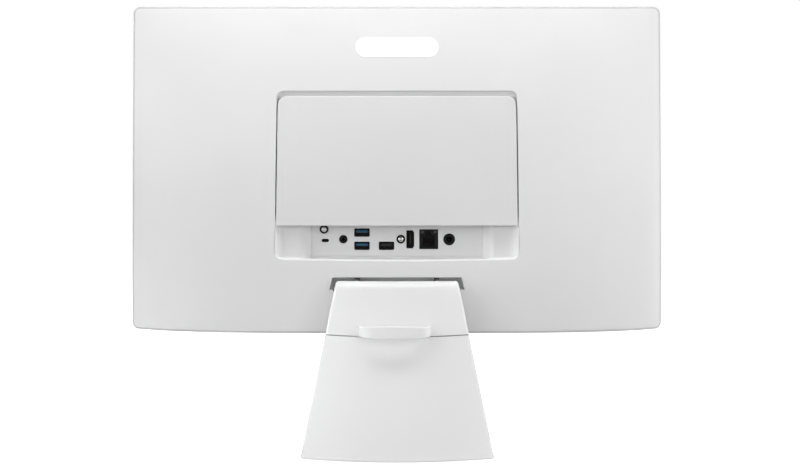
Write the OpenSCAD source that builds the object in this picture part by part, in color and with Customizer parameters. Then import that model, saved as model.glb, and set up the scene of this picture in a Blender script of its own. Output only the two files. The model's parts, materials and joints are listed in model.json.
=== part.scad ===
// All-in-one desktop computer: a display with the computer built into it, on a tilting stand.
// Millimetres. +Z is up, the screen faces -Y and the ports face +Y.
// Origin: centre of the footprint, at table level.

/* [Display] */
// Width of the display
display_w = 509; // [505:1:512]
// Height of the display
display_h = 310; // [308:1:312]
// Height of the display's bottom edge above the table
display_z = 104.5; // [104:0.5:105.5]
// Radius of the display's outer corners
corner_r = 7; // [5:0.5:9]
// How far the rear bulges behind its rim
bulge = 38; // [37.5:0.5:38.5]
// Wall thickness of the moulded covers
wall = 2.5; // [2.3:0.1:2.7]

/* [Rear recess] */
// Width of the recess that holds the cover and the ports
recess_w = 228.2; // [227.8:0.1:228.6]
// Bottom edge of the recess
recess_z0 = 174.3; // [174:0.1:174.6]
// Top edge of the recess
recess_z1 = 331.9; // [331.6:0.1:332.2]
// Bottom edge of the cover, above the ports
cover_z0 = 204.7; // [204.4:0.1:205]
// Top edge of the cover
cover_z1 = 326.7; // [326.4:0.1:327]
// Gap on each side of the cover
cover_gap = 1.2; // [1:0.1:1.4]

/* [Stand] */
// Backward slant of the neck, in degrees
slant = 14.9; // [14.6:0.1:15.2]
// Distance of the hinge axis behind the screen's mid-plane
hinge_y = 54; // [53.8:0.1:54.2]
// Height of the hinge axis
hinge_z = 145.3; // [145:0.1:145.6]
// Radius of the roll at the neck's top
roll_r = 9.8; // [9.6:0.1:10]
// Half the neck's width at the hinge axis
neck_half_top = 57.9; // [57.4:0.1:58.4]
// Widening of the neck's half width per millimetre down
neck_flare = 0.191; // [0.188:0.001:0.194]
// Depth of the foot in front of the origin
foot_front = 102.5; // [100:0.5:102.5]

/* [Hidden] */
$fn = 64;
fine = 360;          // segments of the large arcs
far = 70;            // a plane behind everything in the display

// Display: planes along Y and outline
front_y = -7;
rim_y = 5;
bezel_wall = 1.3;
bezel_back = 4.2;
shell_inset = bezel_wall + 0.1;
lip_inset = 0.3;             // the shell covers the bezel's back edge
lip_y = bezel_back + 0.3;
shell_front = -2;
mid_z = display_z + display_h / 2;
bulge_y = rim_y + bulge;
side_r = (pow(display_h, 2) + pow(bulge, 2)) / (2 * bulge);   // arc of the vertical section
plan_top = bulge_y + 2;                                      // top of the plan section
flat_half = 90;                                              // its flat middle
edge_rise = 3;                                               // bulge left at the side edges
plan_drop = plan_top - rim_y - edge_rise;
plan_r = (pow(display_w / 2 - flat_half, 2) + pow(plan_drop, 2)) / (2 * plan_drop);
function dome_y(z) = bulge_y - side_r + sqrt(pow(side_r, 2) - pow(z - display_z, 2));

// Recess, compartment and port bay
seat = 5;                    // depth of the cover's seat below the rear surface
seat_wall = 2.5;
cover_corner_r = corner_r + 1.5;
cover_rib_x = 110.6;         // middle of each rib under the cover
shell_screw_at = [[-107.3, 230], [107.3, 230], [-107.3, 304], [107.3, 304]];
compartment = [-104, 104, 216, 320];     // x0, x1, z0, z1
bay_half = 80.3;             // half width of the port panel's flat
bay_ramp = 9.2;              // width of the ramp at each end of it
bay_top = 211;
panel_y = 28.5;              // rear face of the port panel
panel_t = 2;

// Openings in the bottom face and the badge on the bulge
vent_pitch = 7;
vent_w = 3;
vent_y = [14, 33];
speaker_x = 183;
speaker_pitch = 6;
speaker_slot = [2, 9, 17];   // width, y0, y1
badge_z = 374;
badge_w = 80;
badge_h = 20;
badge_rise = 0.4;

// Screen opening of the bezel
window_w = 478;
window_h = 270;
chin = 24;                   // from the display's bottom edge to the opening

// Mainboard and what stands on it
board_back = 15;
board_t = 1.6;
board = [-100, 100, 178, 318];
chassis_y = 4.5;
chassis_t = 1;
chassis_back = chassis_y + chassis_t;

// Ports: x, z of each, seen as they stand on the panel
usb_w = 14.6;
usb_h = 7.8;
usb3_at = [[33, 185.2], [33, 197.7]];
usb2_at = [9.8, 185.2];
hdmi_at = [-12.6, 191.3];
hdmi_w = 7.4;
hdmi_h = 17;
lan_at = [-30, 191.4];
lan_w = 17.8;
lan_h = 18.7;
dc_at = [-49.3, 191.3];
dc_r = 5.6;
audio_at = [50.6, 191.4];
audio_r = 4;
lock_at = [67.6, 190.2];
lock_w = 7;
lock_h = 3.2;
screw_at = [[68.8, 200.8], [-3.7, 191.5]];
port_fit = 0.1;
port_front = panel_y - 0.2;

// Hinge
pin_r = 3;
pin_half = 46;
knuckle_r = 5.5;
knuckle_half = 33;
ear_x = 36;
ear_t = 3;
ear_r = 5.6;
nut_r = 4.9;                 // across the corners
nut_t = 4;
nut_x = ear_x + ear_t + 0.2;
washer_r = 4.8;
turn_room = 0.5;             // radial room for the turning parts in the arm
bracket_half = [36, 58];     // inner and outer side of a bracket's flange
bracket_hole_at = [128, 167];
bracket_t = 3;
pocket = [143, 159, 145.3, 157.2];       // surround z0, z1 and opening z0, z1
pocket_half_top = 60.1;
pocket_half_low = 62.9;
ear_slot_half = 2.3;
pocket_floor = 26;

// Stand
neck_r = 300;                // curvature of the neck's rear face
neck_t = 13;
skin = 2.3;
seam_z = 107;
seam_gap = 0.8;
foot_half = 82.5;
foot_r = 28;
foot_top = 8;
foot_under = 0.6;
pad_h = 1;
plate_t = 2;
flange_z = pad_h + plate_t;
holder_x = 2;
holder_half = 33;
holder_back = 86.5;
holder_z0 = 105.9;
holder_h = 11.2;
holder_t = 3.4;
holder_r = 12.5;
leaf = [-32.5, 32.5, 2, 4.5, -32, -2.8];   // knuckle leaf: x, local y and local z spans
knuckle_screw_at = [[-20, -14], [20, -14], [-20, -26], [20, -26]];
base_screw_at = [[-22, 40], [22, 40], [0, 72]];

// Fan and cooler
fan_at = [67, 278];
fan_r = 24;
fan_case = [38, 96, 249, 308];
fan_front = board_back;
fan_back = 22.6;
spindle_r = 1.5;
blades = 13;
cpu_at = [-5, 264];
pipe_r = 1.8;
pipe_y = 20.2;
pipe_up_x = 32;
pipe_top_z = 312;
fins = 18;
fin_pitch = 2.8;
fin_x0 = 41;
fin_size = [0.8, 7.4, 7.8];

// Camera above the screen
webcam_at = [0, 406.5];

// Power button under the chin
button_at = [180, -0.6];
button_r = 3.5;
button_low = display_z - 1.2;
button_flange = [108.4, 109.6];
button_flange_r = 4.5;

// ---- Helpers -------------------------------------------------------------

// Rounded rectangle centred on the origin
module rounded_rect(w, h, r) {
    square([w - 2 * r, h], center = true);
    square([w, h - 2 * r], center = true);
    for (sx = [-1, 1], sy = [-1, 1])
        translate([sx * (w / 2 - r), sy * (h / 2 - r)]) circle(r = r);
}

// Outline in the XZ plane, from y0 to y1
module y_prism(y0, y1) {
    translate([0, y1, 0]) rotate([90, 0, 0]) linear_extrude(y1 - y0) children();
}

// Outline in the YZ plane, from x0 to x1
module x_prism(x0, x1) {
    translate([x0, 0, 0]) rotate([90, 0, 90]) linear_extrude(x1 - x0) children();
}

// Round bar along Y, at x and z
module y_rod(at, r, y0, y1) {
    translate([at[0], y0, at[1]]) rotate([-90, 0, 0]) cylinder(r = r, h = y1 - y0);
}

// Round bar along X, centred, at the hinge axis
module hinge_rod(r, half) {
    translate([-half, hinge_y, hinge_z]) rotate([0, 90, 0]) cylinder(r = r, h = 2 * half);
}

// Box from its two corners
module span(x0, x1, y0, y1, z0, z1) {
    translate([x0, y0, z0]) cube([x1 - x0, y1 - y0, z1 - z0]);
}

// Slot outline with round ends, centred
module slot_outline(w, h) {
    square([w - h, h], center = true);
    for (s = [-1, 1]) translate([s * (w - h) / 2, 0]) circle(d = h);
}

// Everything in front of the rear surface lowered by drop, with no outline
module under_dome(drop) {
    intersection() {
        x_prism(-display_w / 2, display_w / 2) intersection() {
            translate([bulge_y - drop - side_r, display_z]) circle(r = side_r, $fn = fine * 3);
            translate([-far, display_z - 20]) square([2 * far, display_h + 40]);
        }
        translate([0, 0, display_z - 20]) linear_extrude(display_h + 40) {
            translate([-flat_half, -far]) square([2 * flat_half, far + plan_top - drop]);
            intersection() {
                union() {
                    for (s = [-1, 1])
                        translate([s * flat_half, plan_top - drop - plan_r])
                            circle(r = plan_r, $fn = fine * 3);
                }
                translate([-display_w / 2, -far]) square([display_w, 2 * far]);
            }
        }
    }
}

// Rear bulge as a solid, inset from the display's outline, lowered by drop
module dome(inset, drop, y0) {
    intersection() {
        y_prism(y0, far) translate([0, mid_z])
            rounded_rect(display_w - 2 * inset, display_h - 2 * inset, corner_r - inset / 2);
        under_dome(drop);
    }
}

// Frame of the slanted neck: origin on the hinge axis, +Y out of its rear face, +Z up along it
module on_slant() {
    translate([0, hinge_y, hinge_z]) rotate([slant, 0, 0]) children();
}

// The neck's solid between two depths below its rear face, narrowed by inset at its sides
module neck_slab(depth0, depth1, inset) {
    long = 190;
    on_slant() intersection() {
        translate([0, roll_r - neck_r, -long]) difference() {
            cylinder(r = neck_r - depth0, h = long + 30, $fn = fine * 3);
            translate([0, 0, -1]) cylinder(r = neck_r - depth1, h = long + 32, $fn = fine * 3);
        }
        y_prism(-60, 20) polygon([
            [-(neck_half_top + long * neck_flare - inset), -long],
            [neck_half_top + long * neck_flare - inset, -long],
            [neck_half_top - 20 * neck_flare - inset, 20],
            [-(neck_half_top - 20 * neck_flare - inset), 20]]);
    }
}

// Space below or above a level, for cutting the neck
module below(z) { span(-120, 120, -120, 160, -60, z); }
module above(z) { span(-120, 120, -120, 160, z, 240); }

// Outline of the foot, in plan, inset all round
module foot_plan(inset) {
    r = foot_r - inset;
    half = foot_half - inset;
    for (s = [-1, 1]) translate([s * (half - r), inset - foot_front + r]) circle(r = r);
    translate([-(half - r), inset - foot_front]) square([2 * (half - r), 130]);
    translate([-half, inset - foot_front + r]) square([2 * half, 130 + foot_front - inset - r]);
}

// Foot as a solid that ends at the neck's rear face
module foot_solid(inset, z0, z1) {
    intersection() {
        translate([0, 0, z0]) linear_extrude(z1 - z0) foot_plan(inset);
        on_slant() translate([0, roll_r - neck_r, -190])
            cylinder(r = neck_r - inset, h = 220, $fn = fine * 3);
    }
}

// ---- Stand ---------------------------------------------------------------

// Lower neck and foot, one moulding, open underneath
module stand_base() {
    color("white") {
        difference() {
            union() {
                intersection() {
                    neck_slab(0, neck_t, 0);
                    below(seam_z - seam_gap / 2);
                    above(foot_under);
                }
                foot_solid(0, foot_under, foot_top);
            }
            intersection() {
                neck_slab(skin, neck_t + 1, skin);
                above(foot_under - 1);
            }
            foot_solid(skin, foot_under - 1, foot_top - wall);
        }
    }
}

module foot_weight_plate() {
    color("dimgray") difference() {
        intersection() {
            translate([0, 0, pad_h]) linear_extrude(plate_t) foot_plan(skin + 0.3);
            span(-120, 120, -120, 84, -1, 20);
        }
        for (p = base_screw_at) translate([p[0], p[1], 0]) cylinder(r = 2.1, h = 10);
    }
}

module rubber_feet() {
    color("dimgray") for (sx = [-1, 1], y = [-80, 72])
        translate([sx * 62, y, 0]) cylinder(r = 9, h = pad_h);
}

module base_screws() {
    color("silver") for (p = base_screw_at) translate([p[0], p[1], 0]) {
        translate([0, 0, 0.3]) cylinder(r = 4, h = pad_h - 0.3);
        translate([0, 0, pad_h - 0.1]) cylinder(r = 2, h = flange_z + 2 - pad_h);
    }
}

// Steel plate that carries the hinge, with a flange bolted to the foot's plate
module neck_spine() {
    color("gray") difference() {
        union() {
            intersection() {
                on_slant() span(leaf[0], leaf[1], -1, leaf[2], -160, -8);
                above(flange_z);
            }
            span(leaf[0], leaf[1], 22, 92.5, flange_z, flange_z + 2);
        }
        for (p = base_screw_at) translate([p[0], p[1], 0]) cylinder(r = 2.1, h = 10);
        on_slant() for (p = knuckle_screw_at) y_rod(p, 2.05, -3, 4);
    }
}

module neck_front_cover() {
    color("white") intersection() {
        neck_slab(neck_t - 2, neck_t, skin + 0.1);
        above(foot_top);
        on_slant() span(-120, 120, -60, 30, -160, -13);
    }
}

// The arm's form: the neck from the seam up, with the roll at its top, lowered and inset
module arm_form(depth, thickness, inset) {
    intersection() {
        neck_slab(depth, thickness, inset);
        on_slant() span(-120, 120, -60, 30, -160, 0);
    }
    intersection() {
        on_slant() x_prism(-120, 120) circle(r = roll_r - depth + 0.05, $fn = fine);
        neck_slab(depth, neck_r, inset);
    }
}

module arm_rear_cover() {
    color("white") difference() {
        intersection() {
            arm_form(0, neck_t, 0);
            above(seam_z + seam_gap / 2);
        }
        arm_form(skin, neck_t + 1, skin);
        // open at the front, where the hinge brackets enter and swing
        on_slant() x_prism(-neck_half_top + skin + 2, neck_half_top - skin - 2)
            polygon([[0, 0], [-3.2, -13], [-40, -13], [-40, 30], [-8.5, 30]]);
        // room for the ears and the nuts to turn
        difference() {
            union() {
                hinge_rod(ear_r + turn_room, ear_x + ear_t + turn_room);
                hinge_rod(nut_r + turn_room, nut_x + nut_t + turn_room);
            }
            hinge_rod(20, ear_x - turn_room);
        }
    }
}

module hinge_knuckle() {
    color("silver") difference() {
        union() {
            hinge_rod(knuckle_r, knuckle_half);
            on_slant() span(leaf[0], leaf[1], leaf[2], leaf[3], leaf[4], leaf[5]);
        }
        hinge_rod(pin_r + 0.05, knuckle_half + 1);
        on_slant() for (p = knuckle_screw_at) y_rod(p, 2.05, 0, 8);
    }
}

module knuckle_screws() {
    color("silver") on_slant() for (p = knuckle_screw_at) {
        y_rod(p, 2, -1, leaf[3] + 0.1);
        y_rod(p, 3.2, leaf[3], leaf[3] + 1.3);
    }
}

// Loop on the neck that holds the cables
module cable_holder() {
    color("white") difference() {
        translate([holder_x, 0, holder_z0]) linear_extrude(holder_h) difference() {
            translate([0, holder_back - 25]) rounded_rect(2 * holder_half, 50, holder_r);
            translate([0, holder_back - 25 - holder_t])
                rounded_rect(2 * (holder_half - holder_t), 50, holder_r - holder_t);
        }
        on_slant() translate([0, roll_r - neck_r, -190])
            cylinder(r = neck_r, h = 220, $fn = fine * 3);
    }
}

// ---- Display covers ------------------------------------------------------

// The shell's full form: narrow inside the bezel's tray, and flush with its outline behind it
module shell_form() {
    intersection() {
        union() {
            y_prism(shell_front, lip_y + 0.6) translate([0, mid_z])
                rounded_rect(display_w - 2 * shell_inset, display_h - 2 * shell_inset,
                    corner_r - shell_inset / 2);
            y_prism(lip_y, far) translate([0, mid_z])
                rounded_rect(display_w - 2 * lip_inset, display_h - 2 * lip_inset, corner_r);
        }
        under_dome(0);
    }
}

// Material left around the recess, the port bay and the hinge pocket
module surrounds() {
    difference() {
        span(-recess_w / 2 - wall, recess_w / 2 + wall, shell_front, far,
            recess_z0 - wall, recess_z1 + wall);
        under_dome(seat + seat_wall);
    }
    span(-bay_half - bay_ramp - wall, bay_half + bay_ramp + wall, panel_y, far,
        recess_z0 - wall, bay_top + wall);
    span(-pocket_half_low - wall, pocket_half_low + wall, pocket_floor - wall, far,
        pocket[0], pocket[1]);
}

// Recess down to the cover's seat, cut square to the screen
module recess_space() {
    difference() {
        y_prism(0, far) translate([0, (recess_z0 + recess_z1) / 2])
            rounded_rect(recess_w, recess_z1 - recess_z0, corner_r);
        under_dome(seat);
    }
}

// Port bay with a ramp at each end
module bay_space() {
    ramp_top = dome_y(cover_z0) - seat;
    translate([0, 0, recess_z0]) linear_extrude(bay_top - recess_z0) polygon([
        [-bay_half, panel_y - 1], [bay_half, panel_y - 1], [bay_half, panel_y],
        [bay_half + bay_ramp, ramp_top], [bay_half + bay_ramp, far],
        [-bay_half - bay_ramp, far], [-bay_half - bay_ramp, ramp_top], [-bay_half, panel_y]]);
}

module pocket_space() {
    y_prism(pocket_floor, far) polygon([
        [-pocket_half_low, pocket[2]], [pocket_half_low, pocket[2]],
        [pocket_half_top, pocket[3]], [-pocket_half_top, pocket[3]]]);
    for (s = [-1, 1]) translate([s * (ear_x + ear_t / 2), 0, 0])
        span(-ear_slot_half, ear_slot_half, pocket_floor - wall - 1, pocket_floor + 1,
            pocket[2] + 0.4, pocket[3] - 0.4);
}

module rear_shell() {
    color("white") difference() {
        union() {
            difference() {
                shell_form();
                difference() {
                    dome(shell_inset + 2, wall, shell_front - 1);
                    surrounds();
                }
                recess_space();
                span(compartment[0], compartment[1], -10, far, compartment[2], compartment[3]);
                bay_space();
                pocket_space();
            }
            for (p = shell_screw_at)
                y_rod(p, 2.4, chassis_back, dome_y(p[1]) - seat - 1);
        }
        for (p = shell_screw_at) y_rod(p, 1.3, dome_y(p[1]) - seat - 9, far);
        // air intake and speaker slots in the bottom face
        for (i = [-8 : 8]) translate([i * vent_pitch, 0, 0])
            span(-vent_w / 2, vent_w / 2, vent_y[0], vent_y[1], display_z - 1, display_z + 6);
        for (s = [-1, 1], i = [-3 : 3]) translate([s * speaker_x + i * speaker_pitch, 0, 0])
            span(-speaker_slot[0] / 2, speaker_slot[0] / 2, speaker_slot[1], speaker_slot[2],
                display_z - 1, display_z + 6);
        translate([button_at[0], button_at[1], display_z - 1]) cylinder(r = 5.6, h = 6);
    }
}

module rear_cover_panel() {
    half = recess_w / 2 - cover_gap;
    r = cover_corner_r;
    color("white") {
        difference() {
            intersection() {
                under_dome(0);
                y_prism(0, far) {
                    translate([-half, cover_z0]) square([2 * half, cover_z1 - cover_z0 - r]);
                    translate([-half + r, cover_z0]) square([2 * (half - r), cover_z1 - cover_z0]);
                    for (s = [-1, 1]) translate([s * (half - r), cover_z1 - r]) circle(r = r);
                }
            }
            under_dome(wall);
        }
        // ribs that stand on the seat
        difference() {
            intersection() {
                under_dome(wall - 0.2);
                for (s = [-1, 1])
                    span(s * cover_rib_x - 0.6, s * cover_rib_x + 0.6, 0, far, compartment[2],
                        compartment[3] - 4);
            }
            under_dome(seat);
        }
    }
}

module port_panel() {
    color("white") difference() {
        span(-bay_half - 3.5, bay_half + 3.5, panel_y - panel_t, panel_y,
            recess_z0 - 1.5, bay_top + 2);
        y_prism(panel_y - panel_t - 1, panel_y + 1) {
            for (p = usb3_at) translate(p) square([usb_w, usb_h], center = true);
            translate(usb2_at) square([usb_w, usb_h], center = true);
            translate(hdmi_at) square([hdmi_w, hdmi_h], center = true);
            translate(lan_at) square([lan_w, lan_h], center = true);
            translate(lock_at) slot_outline(lock_w, lock_h);
            translate(dc_at) circle(r = dc_r);
            translate(audio_at) circle(r = audio_r);
            for (p = screw_at) translate(p) circle(r = 1.7);
        }
    }
}

// Plain raised badge with no lettering
module rear_badge() {
    color("whitesmoke") difference() {
        intersection() {
            under_dome(-badge_rise);
            y_prism(0, far) translate([0, badge_z]) slot_outline(badge_w, badge_h);
        }
        under_dome(0);
    }
}

module front_bezel() {
    color("white") difference() {
        y_prism(front_y, bezel_back) translate([0, mid_z])
            rounded_rect(display_w, display_h, corner_r);
        y_prism(front_y + 1.5, bezel_back + 1) translate([0, mid_z])
            rounded_rect(display_w - 2 * bezel_wall, display_h - 2 * bezel_wall,
                corner_r - bezel_wall / 2);
        y_prism(front_y - 1, front_y + 3) translate([0, display_z + chin + window_h / 2])
            square([window_w, window_h], center = true);
        y_rod(webcam_at, 2.6, front_y - 1, front_y + 3);
        translate([button_at[0], button_at[1], display_z - 1]) cylinder(r = button_r + 0.4, h = 6);
    }
}

// ---- Display inside ------------------------------------------------------

module lcd_glass() {
    color("black") span(-243, 243, front_y + 1.5, front_y + 3, 123, 401);
}

module lcd_module() {
    color("silver") span(-246.5, 246.5, front_y + 3, chassis_y, 115, 401);
}

// Sheet that carries the display, the boards and the hinge
module chassis_frame() {
    color("gray") difference() {
        span(-210, 210, chassis_y, chassis_back, 120, 352);
        for (s = [-1, 1]) {
            span(s * 120 - 5, s * 120 + 5, 0, 10, 142, 332);
            span(s * 50 - 25, s * 50 + 25, 0, 10, 202, 302);
        }
        for (x = [-50, 50], z = bracket_hole_at) y_rod([x, z], 2.1, 0, 10);
    }
}

// Bracket bolted to the chassis, with an ear round the hinge pin
module hinge_bracket(s) {
    color("dimgray") difference() {
        union() {
            span(min(s * bracket_half[0], s * bracket_half[1]),
                max(s * bracket_half[0], s * bracket_half[1]),
                chassis_back, chassis_back + bracket_t, 121, 173);
            x_prism(min(s * ear_x, s * (ear_x + ear_t)), max(s * ear_x, s * (ear_x + ear_t))) {
                polygon([[chassis_back + 1, 128], [chassis_back + 1, 170], [22, 155.4],
                    [40, 154.3], [45.4, 149.6], [51, 148.8], [hinge_y, hinge_z], [50, 142.4],
                    [46, 143.2], [43.2, 146.3], [22, 146.3]]);
                translate([hinge_y, hinge_z]) circle(r = ear_r);
            }
        }
        hinge_rod(pin_r + 0.02, 50);
        for (z = bracket_hole_at) y_rod([s * 50, z], 2.1, 0, 20);
    }
}

module hinge_bracket_left() { hinge_bracket(1); }
module hinge_bracket_right() { hinge_bracket(-1); }

module bracket_screws() {
    color("silver") for (x = [-50, 50], z = bracket_hole_at)
        cross_screw([x, z], 3.5, chassis_back + bracket_t, 1.8, 1.9, chassis_y + 0.2);
}

module hinge_pin() {
    color("silver") hinge_rod(pin_r, pin_half);
}

module hinge_nuts() {
    color("silver") for (s = [-1, 1]) difference() {
        translate([s * (nut_x + nut_t / 2) - nut_t / 2, hinge_y, hinge_z]) rotate([0, 90, 0])
            cylinder(r = nut_r, h = nut_t, $fn = 6);
        hinge_rod(pin_r + 0.02, 50);
    }
}

module friction_washers() {
    color("silver") for (s = [-1, 1]) difference() {
        translate([s * (ear_x - 1.3) - 1.2, hinge_y, hinge_z]) rotate([0, 90, 0])
            cylinder(r = washer_r, h = 2.4);
        hinge_rod(pin_r + 0.02, 50);
    }
}

module mainboard() {
    color("darkgreen") difference() {
        span(board[0], board[1], board_back - board_t, board_back, board[2], board[3]);
        for (x = [-92, 92], z = [184, 312]) y_rod([x, z], 1.6, 10, 20);
    }
}

module board_standoffs() {
    color("gold") for (x = [-92, 92], z = [184, 312]) {
        y_rod([x, z], 3, chassis_back, board_back - board_t);
        y_rod([x, z], 1.5, board_back - board_t - 0.1, board_back + 0.6);
    }
}

module processor() {
    color("silver") span(cpu_at[0] - 18.5, cpu_at[0] + 18.5, board_back, board_back + 2,
        cpu_at[1] - 18.5, cpu_at[1] + 18.5);
}

module cpu_cold_plate() {
    color("peru") span(cpu_at[0] - 22, cpu_at[0] + 22, board_back + 2, pipe_y - pipe_r,
        cpu_at[1] - 22, cpu_at[1] + 22);
}

// Pipe from the cold plate, up beside the fan and along the fins
module heat_pipe() {
    color("peru") {
        translate([-25, pipe_y, cpu_at[1]]) rotate([0, 90, 0])
            cylinder(r = pipe_r, h = pipe_up_x + 25);
        translate([pipe_up_x, pipe_y, cpu_at[1]]) sphere(r = pipe_r);
        translate([pipe_up_x, pipe_y, cpu_at[1]]) cylinder(r = pipe_r, h = pipe_top_z - cpu_at[1]);
        translate([pipe_up_x, pipe_y, pipe_top_z]) sphere(r = pipe_r);
        translate([pipe_up_x, pipe_y, pipe_top_z]) rotate([0, 90, 0])
            cylinder(r = pipe_r, h = fin_x0 + fins * fin_pitch - pipe_up_x);
    }
}

module cooling_fins() {
    color("silver") for (i = [0 : fins - 1]) difference() {
        translate([fin_x0 + i * fin_pitch, board_back + 0.2, fan_case[3] + 0.2]) cube(fin_size);
        translate([fin_x0 + i * fin_pitch - 1, pipe_y, pipe_top_z]) rotate([0, 90, 0])
            cylinder(r = pipe_r + 0.02, h = 3);
    }
}

module fan_housing() {
    color("dimgray") {
        difference() {
            span(fan_case[0], fan_case[1], fan_front, fan_back, fan_case[2], fan_case[3]);
            y_rod(fan_at, fan_r + 2.5, fan_front + 0.8, fan_back - 0.6);
            span(fan_at[0] - fan_r - 1, fan_at[0] + fan_r + 1, fan_front + 0.8, fan_back - 0.6,
                fan_at[1], fan_case[3] + 1);
            y_rod(fan_at, 16, fan_front + 1, fan_back + 1);
        }
        y_rod(fan_at, spindle_r, fan_front + 0.5, fan_back - 1.8);
    }
}

module fan_impeller() {
    color("black") difference() {
        union() {
            y_rod(fan_at, 9, fan_front + 1.4, fan_back - 1.1);
            for (i = [0 : blades - 1]) translate([fan_at[0], 0, fan_at[1]])
                rotate([0, i * 360 / blades, 0])
                    translate([7, fan_front + 1.9, -0.5]) rotate([0, 14, 0]) cube([14.5, 4.1, 1]);
            difference() {
                y_rod(fan_at, fan_r - 1.5, fan_front + 1.6, fan_front + 2.6);
                y_rod(fan_at, fan_r - 3.5, fan_front + 1, fan_front + 4);
            }
        }
        y_rod(fan_at, spindle_r + 0.05, fan_front, fan_back);
    }
}

module memory_modules() {
    color("darkgreen") for (z = [220, 255]) {
        span(-98, -30.4, board_back + 2, board_back + 3.2, z, z + 30);
        for (i = [0 : 3])
            span(-94 + i * 16, -82 + i * 16, board_back, board_back + 4.2, z + 9, z + 20);
    }
}

module solid_state_drive() {
    color("darkgreen") {
        span(-98, -18, board_back + 1.2, board_back + 2, 290, 312);
        for (i = [0 : 2])
            span(-92 + i * 24, -76 + i * 24, board_back, board_back + 3.2, 293, 309);
    }
}

module wireless_card() {
    color("darkgreen") {
        span(4, 34, board_back + 1.2, board_back + 2, 216, 238);
        span(8, 26, board_back, board_back + 3.2, 218, 236);
    }
}

module wireless_antennas() {
    color("goldenrod") for (s = [-1, 1]) span(s * 170 - 20, s * 170 + 20, -1, 0, 402.5, 409);
}

module coin_cell() {
    color("silver") y_rod([60, 224], 10, board_back, board_back + 3.2);
}

module hard_drive() {
    color("silver") span(-200, -130, 8, 15, 178, 278);
}

module drive_bracket() {
    color("gray") {
        span(-203, -127, chassis_back, 8, 182, 274);
        for (x = [-202, -129]) span(x, x + 1.5, 7.5, 13, 182, 274);
    }
}

// Closed speaker box with its cone facing down
module speaker(s) {
    color("black") difference() {
        span(s * speaker_x - 33, s * speaker_x + 33, 6.5, 19.5, 108.4, 136);
        translate([s * speaker_x, 13, 107]) cylinder(r1 = 6, r2 = 3.5, h = 8);
    }
}

module speaker_left() { speaker(1); }
module speaker_right() { speaker(-1); }

module webcam_module() {
    color("black") difference() {
        span(-14, 14, front_y + 1.5, 0, 402.5, 410);
        y_rod(webcam_at, 1.6, front_y, front_y + 4);
    }
}

module webcam_window() {
    color("black") y_rod(webcam_at, 2.5, front_y + 0.2, front_y + 1.5);
}

module power_button() {
    color("white") translate([button_at[0], button_at[1], 0]) {
        translate([0, 0, button_low]) cylinder(r = button_r, h = button_flange[1] - button_low);
        translate([0, 0, button_flange[0]])
            cylinder(r = button_flange_r, h = button_flange[1] - button_flange[0]);
    }
}

module power_switch_board() {
    color("darkgreen") {
        span(170, 190, -3.8, 4, 112, 113.2);
        translate([button_at[0], button_at[1], 111]) cylinder(r = 2, h = 1.1);
    }
}

// Flat ribbon from the panel's driver edge up to the board
module display_cable() {
    color("black") {
        span(68, 88, chassis_back, chassis_back + 0.8, 152, 192);
        span(68, 88, chassis_back + 0.4, board_back - board_t, 191.2, 192);
    }
}

// ---- Ports ---------------------------------------------------------------

// Rectangular metal sleeve, closed at the board
module port_sleeve(at, w, h) {
    difference() {
        y_prism(board_back, port_front) translate(at)
            square([w - 2 * port_fit, h - 2 * port_fit], center = true);
        y_prism(board_back + 2, port_front + 1) translate(at)
            square([w - 1.4, h - 1.4], center = true);
    }
}

module usb_tongue(at) {
    y_prism(board_back + 2, port_front - 1) translate([at[0], at[1] + 1])
        square([11.6, 2], center = true);
}

module usb3_shells() { color("silver") for (p = usb3_at) port_sleeve(p, usb_w, usb_h); }
module usb3_tongues() { color("steelblue") for (p = usb3_at) usb_tongue(p); }
module usb2_shell() { color("silver") port_sleeve(usb2_at, usb_w, usb_h); }
module usb2_tongue() { color("black") usb_tongue(usb2_at); }

module hdmi_port() {
    color("silver") {
        port_sleeve(hdmi_at, hdmi_w, hdmi_h);
        y_prism(board_back + 1.5, port_front - 1) translate([hdmi_at[0] + 0.6, hdmi_at[1]])
            square([1.4, 11.6], center = true);
    }
}

// Network socket: one cavity with a stepped latch notch above it
module lan_port() {
    color("black") difference() {
        y_prism(board_back, port_front) translate(lan_at)
            square([lan_w - 2 * port_fit, lan_h - 2 * port_fit], center = true);
        y_prism(board_back + 2, port_front + 1) translate(lan_at) {
            translate([-5.9, -7.2]) square([11.8, 10.2]);
            translate([-3.1, 2]) square([6.2, 3.4]);
            translate([-2, 5]) square([4, 2.2]);
        }
        for (s = [-1, 1]) y_prism(port_front - 2, port_front + 1)
            translate([lan_at[0] + s * 6.2, lan_at[1] + 6.9]) square([3.4, 2.4], center = true);
    }
}

module lan_indicators() {
    color("khaki") for (s = [-1, 1]) y_prism(port_front - 2, port_front - 0.2)
        translate([lan_at[0] + s * 6.2, lan_at[1] + 6.9]) square([3.4, 2.4], center = true);
}

module dc_jack() {
    color("black") {
        difference() {
            y_rod(dc_at, dc_r - port_fit, board_back, port_front);
            y_rod(dc_at, 3.1, board_back + 2, port_front + 1);
        }
        y_rod(dc_at, 1, board_back + 1.5, port_front - 1.2);
    }
}

module audio_jack() {
    color("black") difference() {
        y_rod(audio_at, audio_r - port_fit, board_back, port_front);
        y_rod(audio_at, 1.75, board_back + 1.3, port_front + 1);
    }
}

// Steel plate behind the panel that a lock grips
module lock_slot_plate() {
    color("gray") y_prism(panel_y - panel_t - 1.6, panel_y - panel_t) translate(lock_at)
        difference() {
            square([18, 12], center = true);
            slot_outline(lock_w, lock_h);
        }
}

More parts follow.
